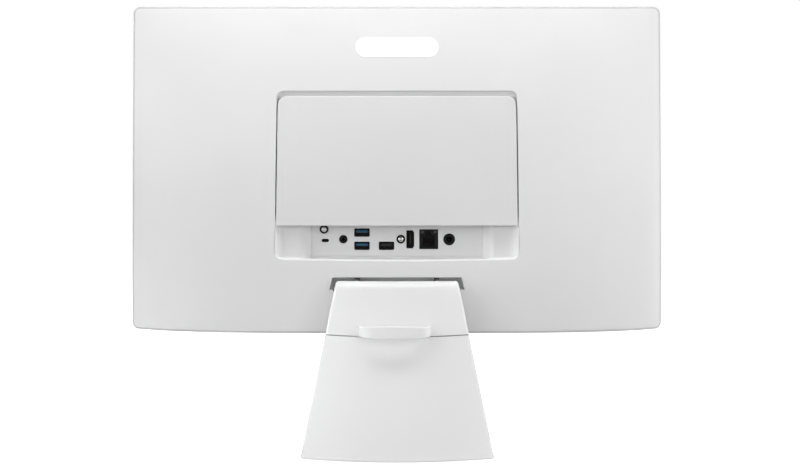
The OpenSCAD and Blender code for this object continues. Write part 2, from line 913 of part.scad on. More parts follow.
// Cross-recessed screw along Y
module cross_screw(at, r, head_y, head_t, shank_r, shank_y) {
    difference() {
        union() {
            y_rod(at, r, head_y, head_y + head_t);
            y_rod(at, shank_r, shank_y, head_y + 0.1);
        }
        for (a = [0, 90]) translate([at[0], head_y + head_t - 0.8, at[1]]) rotate([0, a, 0])
            translate([-r * 0.55, 0, -0.4]) cube([r * 1.1, 2, 0.8]);
    }
}

module io_screws() {
    color("silver") for (p = screw_at)
        cross_screw(p, 3.7, panel_y, 1.9, 1.5, board_back + 3);
}

module shell_screws() {
    color("silver") for (p = shell_screw_at)
        cross_screw(p, 2.2, dome_y(p[1]) - seat + 0.45, 1.2, 1.2, dome_y(p[1]) - seat - 8);
}

stand_base();
foot_weight_plate();
rubber_feet();
base_screws();
neck_spine();
neck_front_cover();
arm_rear_cover();
hinge_knuckle();
knuckle_screws();
cable_holder();
rear_shell();
rear_cover_panel();
port_panel();
rear_badge();
front_bezel();
lcd_glass();
lcd_module();
chassis_frame();
hinge_bracket_left();
hinge_bracket_right();
bracket_screws();
hinge_pin();
hinge_nuts();
friction_washers();
mainboard();
board_standoffs();
processor();
cpu_cold_plate();
heat_pipe();
cooling_fins();
fan_housing();
fan_impeller();
memory_modules();
solid_state_drive();
wireless_card();
wireless_antennas();
coin_cell();
hard_drive();
drive_bracket();
speaker_left();
speaker_right();
webcam_module();
webcam_window();
power_button();
power_switch_board();
display_cable();
usb3_shells();
usb3_tongues();
usb2_shell();
usb2_tongue();
hdmi_port();
lan_port();
lan_indicators();
dc_jack();
audio_jack();
lock_slot_plate();
io_screws();
shell_screws();
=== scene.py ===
"""All-in-one PC on a tilting stand, seen from behind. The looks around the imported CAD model."""
import json
import math

import bmesh
import bpy
import numpy as np
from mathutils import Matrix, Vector
from mathutils.geometry import delaunay_2d_cdt

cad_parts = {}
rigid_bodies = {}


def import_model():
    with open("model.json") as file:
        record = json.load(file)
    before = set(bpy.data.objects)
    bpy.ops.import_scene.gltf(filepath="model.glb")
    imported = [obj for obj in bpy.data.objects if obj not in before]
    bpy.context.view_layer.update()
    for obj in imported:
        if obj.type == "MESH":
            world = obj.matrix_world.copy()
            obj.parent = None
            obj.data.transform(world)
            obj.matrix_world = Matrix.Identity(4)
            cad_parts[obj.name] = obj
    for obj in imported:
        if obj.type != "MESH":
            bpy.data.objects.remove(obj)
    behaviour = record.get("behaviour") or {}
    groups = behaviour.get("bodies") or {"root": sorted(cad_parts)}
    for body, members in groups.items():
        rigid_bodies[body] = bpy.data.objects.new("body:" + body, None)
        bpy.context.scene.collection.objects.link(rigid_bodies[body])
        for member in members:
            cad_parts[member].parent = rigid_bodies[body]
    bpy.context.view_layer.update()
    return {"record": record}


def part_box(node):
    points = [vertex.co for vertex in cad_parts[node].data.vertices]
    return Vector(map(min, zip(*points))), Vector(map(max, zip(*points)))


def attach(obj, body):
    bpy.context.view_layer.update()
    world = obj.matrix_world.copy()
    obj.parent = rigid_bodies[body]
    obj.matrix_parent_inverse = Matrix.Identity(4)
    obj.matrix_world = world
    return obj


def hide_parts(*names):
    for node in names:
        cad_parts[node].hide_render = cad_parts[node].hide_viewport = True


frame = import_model()

# ---- Sizes, in millimetres, read from the frame ---------------------------------------------


def box(node):
    """Lowest and highest corner of a CAD node, in millimetres."""
    low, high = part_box(node)
    return np.array(low) * 1000, np.array(high) * 1000


def centre(node):
    """Middle of a CAD node's box, in millimetres."""
    low, high = box(node)
    return (low + high) / 2


BEZEL_LOW, BEZEL_HIGH = box("front_bezel")
SHELL_LOW, SHELL_HIGH = box("rear_shell")
COVER_LOW, COVER_HIGH = box("rear_cover_panel")
PANEL_LOW, PANEL_HIGH = box("port_panel")
BASE_LOW, BASE_HIGH = box("stand_base")
HALF_W = BEZEL_HIGH[0]                      # half the display's width
BOTTOM_Z, TOP_Z = BEZEL_LOW[2], BEZEL_HIGH[2]
DISPLAY_H = TOP_Z - BOTTOM_Z
CORNER_R = 7.0
REAR = Vector((0, 1, 0))
RIM_Y = BEZEL_HIGH[1] + 0.8                 # the bezel's back edge lies just below the rim
BULGE = SHELL_HIGH[1] - RIM_Y
SHELL_INSET = HALF_W - SHELL_HIGH[0]
SHELL_FRONT = SHELL_LOW[1]
RIM_W = 1.8                                 # width of the shell's border strip
LIP_Y = BEZEL_HIGH[1] + 0.3                 # its front edge, just behind the bezel
TRAY_INSET = 1.4                            # the shell's inset inside the bezel's tray

RECESS_HALF = COVER_HIGH[0] + 1.2           # the cover's side gaps are 1.2 mm
RECESS_Z0, RECESS_Z1 = COVER_LOW[2] - 30.4, COVER_HIGH[2] + 5.2
RECESS_R = 7.0
LIP_BOW = 1.3                               # sag of the recess's bottom edge in its middle
SEAT_DEPTH = 5.0
TOP_DEPTH = 3.0                             # the seat's depth above the cover
COMPARTMENT = (-104.0, 104.0, COVER_LOW[2] + 13.4, COVER_HIGH[2] - 8.9)
PANEL_Y = PANEL_HIGH[1]
BAY_HALF, BAY_RAMP = 80.3, 9.2
BAY_TOP = PANEL_HIGH[2] - 2
BOARD_Y = box("hdmi_port")[0][1]            # the sockets stand on the board
PORT_Y = box("hdmi_port")[1][1]             # and end just below the panel's face
CAVITY_Y = BOARD_Y + 2

HINGE = np.array(frame["record"]["behaviour"]["joints"][0]["pos_m"]) * 1000
SLANT = math.radians(14.9)
ROLL_R = 9.8
NECK_R = 300.0
NECK_T = 13.0
NECK_HALF_TOP, NECK_FLARE = 57.9, 0.191
SEAM_Z = BASE_HIGH[2] + 0.4
SEAM_GAP = 0.45
SEAM_BOW = 1.0                              # sag of the seam in its middle
FOOT_TOP, FOOT_UNDER = 8.0, BASE_LOW[2]
POCKET_Z0 = HINGE[2]
POCKET_Z1 = HINGE[2] + 11.1
POCKET = [(-62.9, POCKET_Z0), (62.9, POCKET_Z0), (60.1, POCKET_Z1), (-60.1, POCKET_Z1)]
EAR_X = 37.5                                # middle of each hinge ear
POCKET_Y = 26.0
LOOP_LEAN = 1.7                             # how far the cable loop's top edge is drawn in

# ---- Materials ------------------------------------------------------------------------------


def new_material(name):
    """Material with a Principled shader, and its nodes, links and shader."""
    material = bpy.data.materials.new(name)
    material.use_nodes = True
    nodes, links = material.node_tree.nodes, material.node_tree.links
    return material, nodes, links, nodes["Principled BSDF"]


def noise(nodes, links, scale, detail=3.0, stretch=(1, 1, 1)):
    """Noise over the object's own coordinates, which are metres in the frame."""
    coords = nodes.new("ShaderNodeTexCoord")
    mapping = nodes.new("ShaderNodeMapping")
    mapping.inputs["Scale"].default_value = stretch
    texture = nodes.new("ShaderNodeTexNoise")
    texture.inputs["Scale"].default_value = scale
    texture.inputs["Detail"].default_value = detail
    links.new(coords.outputs["Object"], mapping.inputs["Vector"])
    links.new(mapping.outputs["Vector"], texture.inputs["Vector"])
    return texture.outputs["Fac"]


def ramp(nodes, links, source, low, high, at=(0.35, 0.65)):
    """Colour ramp between two colours."""
    node = nodes.new("ShaderNodeValToRGB")
    node.color_ramp.elements[0].position, node.color_ramp.elements[1].position = at
    node.color_ramp.elements[0].color = (*low, 1)
    node.color_ramp.elements[1].color = (*high, 1)
    links.new(source, node.inputs["Fac"])
    return node.outputs["Color"]


def bump(nodes, links, shader, source, strength, distance):
    """Bump on the shader from a height."""
    node = nodes.new("ShaderNodeBump")
    node.inputs["Strength"].default_value = strength
    node.inputs["Distance"].default_value = distance
    links.new(source, node.inputs["Height"])
    links.new(node.outputs["Normal"], shader.inputs["Normal"])


def spread(nodes, links, source, low, high):
    """A height turned into a value between two limits."""
    node = nodes.new("ShaderNodeMapRange")
    node.inputs["From Min"].default_value = 0.3
    node.inputs["From Max"].default_value = 0.7
    node.inputs["To Min"].default_value = low
    node.inputs["To Max"].default_value = high
    links.new(source, node.inputs["Value"])
    return node.outputs["Result"]


def shade(colour, factor):
    return tuple(c * factor for c in colour)


def moulded(name, colour, rough=0.5, grain=2600, depth=0.00002, vary=0.012, gloss=0.5):
    """Moulded plastic: spark-eroded grain, faint tone drift, roughness that varies a little."""
    material, nodes, links, shader = new_material(name)
    drift = noise(nodes, links, 9, 2)
    tone = ramp(nodes, links, drift, shade(colour, 1 - vary), shade(colour, 1 + vary))
    links.new(tone, shader.inputs["Base Color"])
    fine = noise(nodes, links, grain, 2)
    links.new(spread(nodes, links, fine, rough - 0.05, rough + 0.05), shader.inputs["Roughness"])
    bump(nodes, links, shader, fine, 0.25, depth)
    shader.inputs["IOR"].default_value = 1.47
    shader.inputs["Specular IOR Level"].default_value = gloss
    return material


def metal(name, colour, rough=0.3, stretch=(1, 1, 1), grain=900):
    """Plated or drawn metal with fine lines or speckle."""
    material, nodes, links, shader = new_material(name)
    lines = noise(nodes, links, grain, 4, stretch)
    links.new(ramp(nodes, links, lines, shade(colour, 0.9), shade(colour, 1.05)),
              shader.inputs["Base Color"])
    links.new(spread(nodes, links, lines, rough - 0.07, rough + 0.08), shader.inputs["Roughness"])
    bump(nodes, links, shader, lines, 0.15, 0.00001)
    shader.inputs["Metallic"].default_value = 1.0
    return material


def circuit_board(name):
    """Solder mask over copper tracks."""
    material, nodes, links, shader = new_material(name)
    coords = nodes.new("ShaderNodeTexCoord")
    bricks = nodes.new("ShaderNodeTexBrick")
    bricks.inputs["Scale"].default_value = 260
    bricks.inputs["Color1"].default_value = (0.012, 0.09, 0.04, 1)
    bricks.inputs["Color2"].default_value = (0.016, 0.12, 0.05, 1)
    bricks.inputs["Mortar"].default_value = (0.03, 0.2, 0.09, 1)
    links.new(coords.outputs["Object"], bricks.inputs["Vector"])
    links.new(bricks.outputs["Color"], shader.inputs["Base Color"])
    bump(nodes, links, shader, bricks.outputs["Fac"], 0.3, 0.00004)
    shader.inputs["Roughness"].default_value = 0.35
    return material


def screen(name):
    """Anti-glare screen that is off."""
    material, nodes, links, shader = new_material(name)
    fine = noise(nodes, links, 5200, 1)
    links.new(ramp(nodes, links, noise(nodes, links, 4, 2), (0.006, 0.006, 0.008),
                   (0.009, 0.009, 0.011)), shader.inputs["Base Color"])
    links.new(spread(nodes, links, fine, 0.26, 0.34), shader.inputs["Roughness"])
    bump(nodes, links, shader, fine, 0.1, 0.000008)
    return material


WHITE = (0.742, 0.742, 0.743)
MATERIALS = {
    "shell_white": moulded("white_shell", WHITE, 0.46),
    "cover_white": moulded("white_cover", (0.709, 0.709, 0.71), 0.46),
    "stand_white": moulded("white_stand", (0.797, 0.797, 0.798), 0.42),
    "bezel_white": moulded("white_bezel", (0.722, 0.722, 0.723), 0.4),
    "badge_white": moulded("white_badge", (0.93, 0.93, 0.93), 0.22, depth=0.000004),
    "black_plastic": moulded("black_plastic", (0.008, 0.008, 0.009), 0.42, 1900, gloss=0.22),
    "dark_plastic": moulded("dark_plastic", (0.03, 0.03, 0.032), 0.4, 1900, gloss=0.3),
    "blue_plastic": moulded("blue_plastic", (0.018, 0.11, 0.21), 0.35, 1900),
    "amber_lens": moulded("amber_lens", (0.06, 0.055, 0.045), 0.18, 900),
    "rubber": moulded("rubber", (0.05, 0.05, 0.05), 0.85, 1200, 0.00006),
    "screen_black": screen("screen"),
    "circuit_board": circuit_board("circuit_board"),
    "steel": metal("steel", (0.56, 0.57, 0.58), 0.34, (1, 1, 12), 700),
    "port_steel": metal("port_steel", (0.03, 0.03, 0.032), 0.42, (1, 8, 1), 900),
    "screw_steel": metal("screw_steel", (0.72, 0.71, 0.7), 0.22, (1, 1, 1), 1500),
    "black_steel": moulded("black_steel", (0.05, 0.05, 0.055), 0.45, 1500, 0.00005),
    # painted shade: the hinge brackets are white powder-coated steel, drawn mid grey so their ears match the shaded
    # pocket
    "white_steel": moulded("white_steel", (0.32, 0.32, 0.323), 0.5, 1500, 0.00004),
    "aluminium": metal("aluminium", (0.78, 0.79, 0.8), 0.32, (1, 1, 9), 800),
    "copper": metal("copper", (0.75, 0.36, 0.2), 0.28, (1, 1, 9), 800),
    "brass": metal("brass", (0.75, 0.57, 0.26), 0.3, (1, 1, 9), 800),
}
# painted shade: a grey copy of the shell's white for its border strip, so the outline reads dark
RIM_PAINTED_SHADE = moulded("white_rim", (0.56, 0.56, 0.565), 0.5)
SLOT_OF = {row["node"]: row["material_slot"] for row in frame["record"]["subparts"]}

# ---- Mesh building --------------------------------------------------------------------------


def rounded_outline(half_w, z0, z1, radii, inset=0.0, arc=10, step=4.0):
    """Points round a rectangle with round corners, anticlockwise from its lower left.

    radii holds the corner radius at lower left, lower right, upper right and upper left.
    inset moves the outline inwards and keeps the number of points. It is a number, or a
    function of the outer point's height."""
    corners = [(-half_w + radii[0], z0 + radii[0], radii[0], 180), (half_w - radii[1], z0 + radii[1], radii[1], 270),
               (half_w - radii[2], z1 - radii[2], radii[2], 0), (-half_w + radii[3], z1 - radii[3], radii[3], 90)]
    points = []
    for i, (cx, cz, r, start) in enumerate(corners):
        for k in range(arc + 1):
            a = math.radians(start + 90 * k / arc)
            points.append((cx, cz, r, math.cos(a), math.sin(a)))
        nx, nz, nr, ns = corners[(i + 1) % 4]
        a = math.radians(start + 90)
        ax, az = cx + r * math.cos(a), cz + r * math.sin(a)
        bx, bz = nx + nr * math.cos(a), nz + nr * math.sin(a)
        n = max(1, int(math.hypot(bx - ax, bz - az) / step))
        for k in range(1, n):
            t = k / n
            points.append((ax + (bx - ax) * t, az + (bz - az) * t, 0.0, math.cos(a), math.sin(a)))
    out = []
    for cx, cz, r, nx, nz in points:
        d = inset(cz + r * nz) if callable(inset) else inset
        out.append((cx + (r - d) * nx, cz + (r - d) * nz))
    return np.array(out)


def polygon_outline(corners, inset=0.0, step=3.0):
    """Points round a convex or simple polygon given anticlockwise, moved in by inset."""
    corners = np.array(corners, float)
    n = len(corners)
    moved = []
    for i in range(n):
        a, b, c = corners[i - 1], corners[i], corners[(i + 1) % n]
        u, v = (b - a) / np.linalg.norm(b - a), (c - b) / np.linalg.norm(c - b)
        nu, nv = np.array([-u[1], u[0]]), np.array([-v[1], v[0]])
        moved.append(b + inset * (nu + nv) / (1 + nu @ nv))
    out = []
    for i in range(n):
        a, b = corners[i], corners[(i + 1) % n]
        count = max(1, int(np.linalg.norm(b - a) / step))
        for k in range(count):
            out.append(moved[i] + (moved[(i + 1) % n] - moved[i]) * k / count)
    return np.array(out)


def circle_at(cx, cz, r, count=40):
    """Circle as a function of its inset."""
    a = np.arange(count) * 2 * math.pi / count

    def outline(inset=0.0):
        return np.column_stack([cx + (r - inset) * np.cos(a), cz + (r - inset) * np.sin(a)])
    return outline


def rectangle_at(cx, cz, w, h, r, arc=4):
    """Rounded rectangle as a function of its inset."""
    def outline(inset=0.0):
        return rounded_outline(w / 2, -h / 2, h / 2, [r] * 4, inset, arc, 3.0) + np.array([cx, cz])
    return outline


def polygon_at(cx, cz, corners, step=3.0):
    """Polygon as a function of its inset."""
    def outline(inset=0.0):
        return polygon_outline(corners, inset, step) + np.array([cx, cz])
    return outline


def inside(points, outline):
    """True for each point inside the outline."""
    x, z = points[:, 0], points[:, 1]
    result = np.zeros(len(points), bool)
    ends = np.roll(outline, -1, axis=0)
    for (x0, z0), (x1, z1) in zip(outline, ends):
        crosses = (z0 > z) != (z1 > z)
        with np.errstate(divide="ignore", invalid="ignore"):
            result ^= crosses & (x < (x1 - x0) * (z - z0) / (z1 - z0) + x0)
    return result


def triangles(outer, holes=(), spacing=5.0):
    """Flat triangulation of a region with holes: its points and its triangles."""
    loops = [outer, *holes]
    lines = [np.column_stack([loop, np.roll(loop, -1, axis=0)]) for loop in loops]
    low, high = outer.min(0), outer.max(0)
    nx, nz = [max(2, int(round(d / spacing))) for d in high - low]
    gx, gz = np.meshgrid(np.linspace(low[0], high[0], nx + 1)[1:-1], np.linspace(low[1], high[1], nz + 1)[1:-1])
    grid = np.column_stack([gx.ravel(), gz.ravel()])
    grid = grid[inside(grid, outer)]
    for hole in holes:
        grid = grid[~inside(grid, hole)]
    for loop in loops:
        for start in range(0, len(loop), 60):
            part = loop[start:start + 60]
            gap = np.linalg.norm(grid[:, None] - part[None], axis=2).min(1) if len(grid) else np.array([])
            grid = grid[gap > spacing * 0.45]
    points, edges, base = [], [], 0
    for loop in loops:
        points += [Vector(p) for p in loop]
        edges += [(base + i, base + (i + 1) % len(loop)) for i in range(len(loop))]
        base += len(loop)
    points += [Vector(p) for p in grid]
    verts, _, faces, *_ = delaunay_2d_cdt(points, edges, [], 0, 1e-6)
    flat = np.array([tuple(v) for v in verts])
    tris = np.array([f for f in faces if len(f) == 3])
    centre = flat[tris].mean(1)
    keep = inside(centre, outer)
    for hole in holes:
        keep &= ~inside(centre, hole)
    return flat, tris[keep]


class Build:
    """Gathers vertices and faces, in millimetres, and turns them into one object."""

    def __init__(self):
        self.verts, self.faces = [], []

    def add(self, points, faces, flip=False):
        base = len(self.verts)
        self.verts += [tuple(p) for p in points]
        self.faces += [tuple(base + i for i in (reversed(f) if flip else f)) for f in faces]

    def sheet(self, outer, height, holes=(), spacing=5.0, flip=False):
        """Region in X and Z, lifted to y = height(x, z). Faces +Y unless flipped."""
        flat, tris = triangles(outer, holes, spacing)
        y = height(flat[:, 0], flat[:, 1])
        points = np.column_stack([flat[:, 0], np.broadcast_to(y, len(flat)), flat[:, 1]])
        self.add(points, tris.tolist(), flip=not flip)

    def strip(self, rings, flip=False, closed=True):
        """Quads between rings of equally many points."""
        n = len(rings[0])
        points = np.concatenate([np.asarray(r, float) for r in rings])
        last = n if closed else n - 1
        faces = [(r * n + i, r * n + (i + 1) % n, (r + 1) * n + (i + 1) % n, (r + 1) * n + i)
                 for r in range(len(rings) - 1) for i in range(last)]
        self.add(points, faces, flip)

    def fan(self, ring, flip=False):
        """Flat cap over a ring."""
        self.add(ring, [tuple(range(len(ring)))], flip)

    def object(self, name, slot, body, angle=40.0, weld=0.004, replaces=(), facing=None, material=None):
        """The object, welded, smooth below an angle, riding on its body.

        Its faces are made to agree: outwards on closed surfaces, or towards facing on an open one."""
        mesh = bpy.data.meshes.new(name)
        mesh.from_pydata([tuple(c / 1000 for c in v) for v in self.verts], [], self.faces)
        work = bmesh.new()
        work.from_mesh(mesh)
        bmesh.ops.remove_doubles(work, verts=work.verts, dist=weld / 1000)
        bmesh.ops.dissolve_degenerate(work, edges=work.edges, dist=1e-7)
        bmesh.ops.recalc_face_normals(work, faces=work.faces)
        if facing:
            total = sum((face.normal * face.calc_area() for face in work.faces), Vector())
            if total.dot(facing) < 0:
                bmesh.ops.reverse_faces(work, faces=work.faces)
        work.to_mesh(mesh)
        work.free()
        mesh.update()
        piece = bpy.data.objects.new(name, mesh)
        bpy.context.collection.objects.link(piece)
        finish_piece(piece, slot, body, angle, replaces, material)
        return piece


def finish_piece(piece, slot, body, angle=40.0, replaces=(), material=None):
    """Material, taken from its slot unless one is given, smooth shading and body of a new piece, with the CAD parts
    it replaces hidden.
    """
    piece.data.materials.clear()
    piece.data.materials.append(material or MATERIALS[slot])
    for face in piece.data.polygons:
        face.use_smooth = True
    piece.data.set_sharp_from_angle(angle=math.radians(angle))
    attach(piece, body)
    if replaces:
        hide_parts(*replaces)


def lift(outline, y):
    """Ring at height y, a number or an array, from an outline in X and Z."""
    return np.column_stack([outline[:, 0], np.broadcast_to(y, len(outline)), outline[:, 1]])


def weighted(piece):
    """Normals weighted by face area, so flat faces stay flat next to their round edges."""
    modifier = piece.modifiers.new("normals", "WEIGHTED_NORMAL")
    modifier.keep_sharp = True
    modifier.weight = 100


def thicken(piece, thickness):
    """Wall inwards from the outer surface."""
    modifier = piece.modifiers.new("wall", "SOLIDIFY")
    modifier.thickness = thickness / 1000
    modifier.offset = -1
    modifier.use_even_offset = False


def apply_modifiers(piece):
    """Modifiers baked into the mesh."""
    graph = bpy.context.evaluated_depsgraph_get()
    mesh = bpy.data.meshes.new_from_object(piece.evaluated_get(graph))
    piece.modifiers.clear()
    piece.data = mesh


# ---- Display: rear surface ------------------------------------------------------------------


def rear_y(x, z):
    """Height of the rear surface: fullest along the bottom, thin along the top and the sides."""
    t = np.clip((z - BOTTOM_Z) / DISPLAY_H, 0, 1)
    across = np.clip(1 - np.abs(x / HALF_W) ** 4, 0, 1) ** 0.83
    return RIM_Y + BULGE * (1 - t ** 2) * (0.1 + 0.9 * across)


def shell_outline(inset):
    return rounded_outline(HALF_W, BOTTOM_Z, TOP_Z, [CORNER_R] * 4, inset, arc=12, step=4.0)


def recess_outline(inset):
    """Rounded rectangle whose bottom edge sags a little in its middle."""
    outline = rounded_outline(RECESS_HALF, RECESS_Z0, RECESS_Z1, [RECESS_R] * 4, inset, arc=12, step=3.0)
    near = np.clip((RECESS_Z0 + 12 - outline[:, 1]) / 12, 0, 1)
    outline[:, 1] -= LIP_BOW * near * (1 - (outline[:, 0] / RECESS_HALF) ** 2)
    return outline


def recess_edge(z):
    """Radius of the recess's rim: fine round the cover, full round the port bay."""
    return 0.3 + 1.4 * np.clip((COVER_LOW[2] - z) / 12, 0, 1)


def floor_y(x, z):
    """Floor of the recess: the cover's seat above, the port bay with its ramps below."""
    above = np.clip((z - COVER_HIGH[2] + 3) / 2, 0, 1)
    seat = rear_y(x, z) - SEAT_DEPTH + (SEAT_DEPTH - TOP_DEPTH) * above
    ledge = np.minimum(seat, 35.0)
    t = np.clip((np.abs(x) - BAY_HALF) / BAY_RAMP, 0, 1)
    bay = PANEL_Y + (ledge - PANEL_Y) * t
    side = np.clip(9.0 - (RECESS_HALF - np.abs(x)), 0, 9.0)
    bay = bay + 9.0 - np.sqrt(81.0 - side ** 2 * 0.98)
    share = np.clip((z - BAY_TOP) / 3.0, 0, 1)
    return np.minimum(bay, rear_y(x, z) - 1.2) * (1 - share) + seat * share


def edge_rings(outline_at, y_at, radius, steps=4, base=0.0, grow=1):
    """Rings of a convex round edge, from the surface round to the wall.

    outline_at(inset) gives the outline, and the wall stands at inset base. grow is 1 where
    the surface lies inside the outline, and -1 round a hole."""
    rings = []
    for k in range(steps + 1):
        a = math.pi / 2 * k / steps
        if callable(radius):
            flat = outline_at(lambda z, a=a: base + grow * radius(z) * (1 - math.sin(a)))
            r = radius(outline_at(base)[:, 1])
        else:
            flat = outline_at(base + grow * radius * (1 - math.sin(a)))
            r = radius
        rings.append(lift(flat, y_at(flat[:, 0], flat[:, 1]) - r * (1 - math.cos(a))))
    return rings


def revolve(build, cx, cz, profile, count=40):
    """Closed round form about an axis along Y. The profile is radius and y, from axis to axis."""
    a = np.arange(count) * 2 * math.pi / count
    rings = [np.column_stack([cx + r * np.cos(a), np.full(count, y), cz + r * np.sin(a)]) for r, y in profile]
    build.strip(rings)


def rounded_profile(r, low, high, edge, bore=0.0, bore_low=None):
    """Profile of a disc or ring between two levels, round at its outer top edge and its bore's mouth."""
    points = [(bore, low), (r, low)]
    points += [(r - edge * (1 - math.cos(a)), high - edge * (1 - math.sin(a)))
               for a in np.linspace(0, math.pi / 2, 5)]
    if bore:
        points += [(bore + edge * (1 - math.sin(a)), high - edge * (1 - math.cos(a)))
                   for a in np.linspace(0, math.pi / 2, 5)]
        points += [(bore, low if bore_low is None else bore_low)]
        if bore_low is not None:
            points += [(0.0, bore_low)]
    else:
        points += [(0.0, high)]
    return points


def sleeve(build, outline_at, wall, back, front, floor):
    """Thin-walled tube along Y with a round lip, closed by a floor."""
    rings = [lift(outline_at(wall), back), lift(outline_at(0), back)]
    for k in range(5):
        a = math.pi * k / 4
        rings.append(lift(outline_at(wall / 2 * (1 - math.cos(a))), front - wall / 2 * (1 - math.sin(a))))
    rings.append(lift(outline_at(wall), floor))
    build.strip(rings)
    build.fan(rings[0])
    build.fan(rings[-1], flip=True)


def bar(build, outline_at, back, front, edge=0.15):
    """Solid bar along Y with a chamfered front."""
    rings = [lift(outline_at(0), back), lift(outline_at(0), front - edge), lift(outline_at(edge), front)]
    build.strip(rings)
    build.fan(rings[0])
    build.fan(rings[-1], flip=True)


def cut(piece, cutter):
    """Takes the cutter's form out of the piece, and removes the cutter."""
    modifier = piece.modifiers.new("cut", "BOOLEAN")
    modifier.operation = "DIFFERENCE"
    modifier.object = cutter
    modifier.solver = "EXACT"
    modifier.use_self = True
    apply_modifiers(piece)
    bpy.data.objects.remove(cutter)


def cutter_of(build):
    """Object for cut(), which is never shown."""
    mesh = bpy.data.meshes.new("cutter")
    mesh.from_pydata([tuple(c / 1000 for c in v) for v in build.verts], [], build.faces)
    work = bmesh.new()
    work.from_mesh(mesh)
    bmesh.ops.remove_doubles(work, verts=work.verts, dist=1e-6)
    bmesh.ops.recalc_face_normals(work, faces=work.faces)
    work.to_mesh(mesh)
    work.free()
    cutter = bpy.data.objects.new("cutter", mesh)
    bpy.context.collection.objects.link(cutter)
    return cutter


def block(build, low, high):
    """Box between two corners, for cutters and small hidden forms."""
    (x0, y0, z0), (x1, y1, z1) = low, high
    points = [(x, y, z) for x in (x0, x1) for y in (y0, y1) for z in (z0, z1)]
    build.add(points, [(0, 1, 3, 2), (4, 6, 7, 5), (0, 4, 5, 1), (2, 3, 7, 6), (0, 2, 6, 4), (1, 5, 7, 3)])


def panel_window():
    """Outline of the panel where it shows in the bay's floor."""
    low, high = RECESS_Z0 + 1.4, BAY_TOP
    return polygon_outline([(-BAY_HALF, low), (BAY_HALF, low), (BAY_HALF, high), (-BAY_HALF, high)], 0.0, 4.0)


def make_rear_shell():
    build = Build()
    border = SHELL_INSET + RIM_W
    outer = edge_rings(shell_outline, rear_y, 0.3, 3, border)
    hole = edge_rings(recess_outline, rear_y, recess_edge, 4, 0.0, -1)
    pocket_at = lambda inset: polygon_outline(POCKET, inset, 3.0)
    pocket = edge_rings(pocket_at, rear_y, 0.7, 3, 0.0, -1)
    build.sheet(outer[0][:, [0, 2]], rear_y, [hole[0][:, [0, 2]], pocket[0][:, [0, 2]]], 5.0)
    wall = [lift(shell_outline(border), y) for y in (RIM_Y - 2.5, SHELL_FRONT)]
    build.strip(outer + wall, flip=True)
    # recess: wall, then floor with a small cove at its foot
    cove = 1.0
    foot = []
    for k in range(4):
        a = math.pi / 2 * k / 3
        flat = recess_outline(cove * (1 - math.cos(a)))
        foot.append(lift(flat, floor_y(flat[:, 0], flat[:, 1]) + cove * (1 - math.sin(a))))
    build.strip(hole + foot)
    x0, x1, z0, z1 = COMPARTMENT
    opening = polygon_outline([(x0, z0), (x1, z0), (x1, z1), (x0, z1)], 0.0, 6.0)
    build.sheet(foot[-1][:, [0, 2]], floor_y, [panel_window(), opening], 2.6)
    # pocket: wall and floor, with a slot for the ear of each hinge bracket
    floor = pocket_at(0.0)
    build.strip(pocket + [lift(floor, POCKET_Y)])
    middle = (POCKET_Z0 + POCKET_Z1) / 2
    slots = [rectangle_at(side * EAR_X, middle, 4.6, 9.8, 0.4, 2)() for side in (-1, 1)]
    build.sheet(floor, lambda x, z: np.full(len(x), POCKET_Y), slots, 4.0)
    for slot in slots:
        build.strip([lift(slot, POCKET_Y), lift(slot, POCKET_Y - 3)])
    shell = build.object("rear_shell_skin", "shell_white", "display", 42, replaces=["rear_shell"], facing=REAR)
    thicken(shell, 1.8)
    weighted(shell)


def make_rim():
    """Strip round the shell's border, from the bulge's edge down to the bezel's tray. It is drawn in a grey copy of
    the shell's white: painted shade along the display's outline.
    """
    build = Build()
    border = SHELL_INSET + RIM_W
    steps = [(border + 0.4, 0.5), (border, 0.3), (SHELL_INSET + 0.6, 0.35), (SHELL_INSET + 0.25, 0.5),
             (SHELL_INSET + 0.07, 0.75), (SHELL_INSET, 1.1)]
    rings = []
    for inset, drop in steps:
        flat = shell_outline(inset)
        rings.append(lift(flat, np.maximum(rear_y(flat[:, 0], flat[:, 1]) - drop, LIP_Y + 0.02)))
    rings += [lift(shell_outline(SHELL_INSET), LIP_Y), lift(shell_outline(TRAY_INSET), LIP_Y),
              lift(shell_outline(TRAY_INSET), SHELL_FRONT), lift(shell_outline(border - 0.2), SHELL_FRONT)]
    build.strip(rings)
    # the rim is the shell's own white plastic; its grey material is painted shade
    rim = build.object("shell_rim", "shell_white", "display", 35, 0.001, ["rear_shell"], REAR, RIM_PAINTED_SHADE)
    weighted(rim)


def cover_outline(inset):
    r = 8.5
    return rounded_outline(COVER_HIGH[0], COVER_LOW[2], COVER_HIGH[2], [0.5, 0.5, r, r], inset, arc=12, step=4.0)


def make_cover():
    build = Build()
    edge = 0.9
    top = edge_rings(cover_outline, rear_y, lambda z: np.where(z > COVER_LOW[2] + 0.3, edge, 0.4), 4)
    build.sheet(top[0][:, [0, 2]], rear_y, (), 5.0)
    base = cover_outline(0.0)
    low = lift(base, rear_y(base[:, 0], base[:, 1]) - 2.5)
    build.strip(top + [low], flip=True)
    build.sheet(base, lambda x, z: rear_y(x, z) - 2.5, (), 5.0, flip=True)
    cover = build.object("service_cover", "cover_white", "display", 42, replaces=["rear_cover_panel"])
    weighted(cover)
    return cover


# ---- Display: port bay ----------------------------------------------------------------------

USB_HOLE, HDMI_HOLE, LAN_HOLE = (14.6, 7.8), (7.4, 17.0), (17.8, 18.7)
HDMI_CORNERS = [(-3.7, -6.3), (-2.2, -8.5), (3.7, -8.5), (3.7, 8.5), (-2.2, 8.5), (-3.7, 6.3)]
DC_R, AUDIO_R = 5.6, 4.0
SCREW_R = 3.7
LOCK_SLOT = (7.0, 3.2)


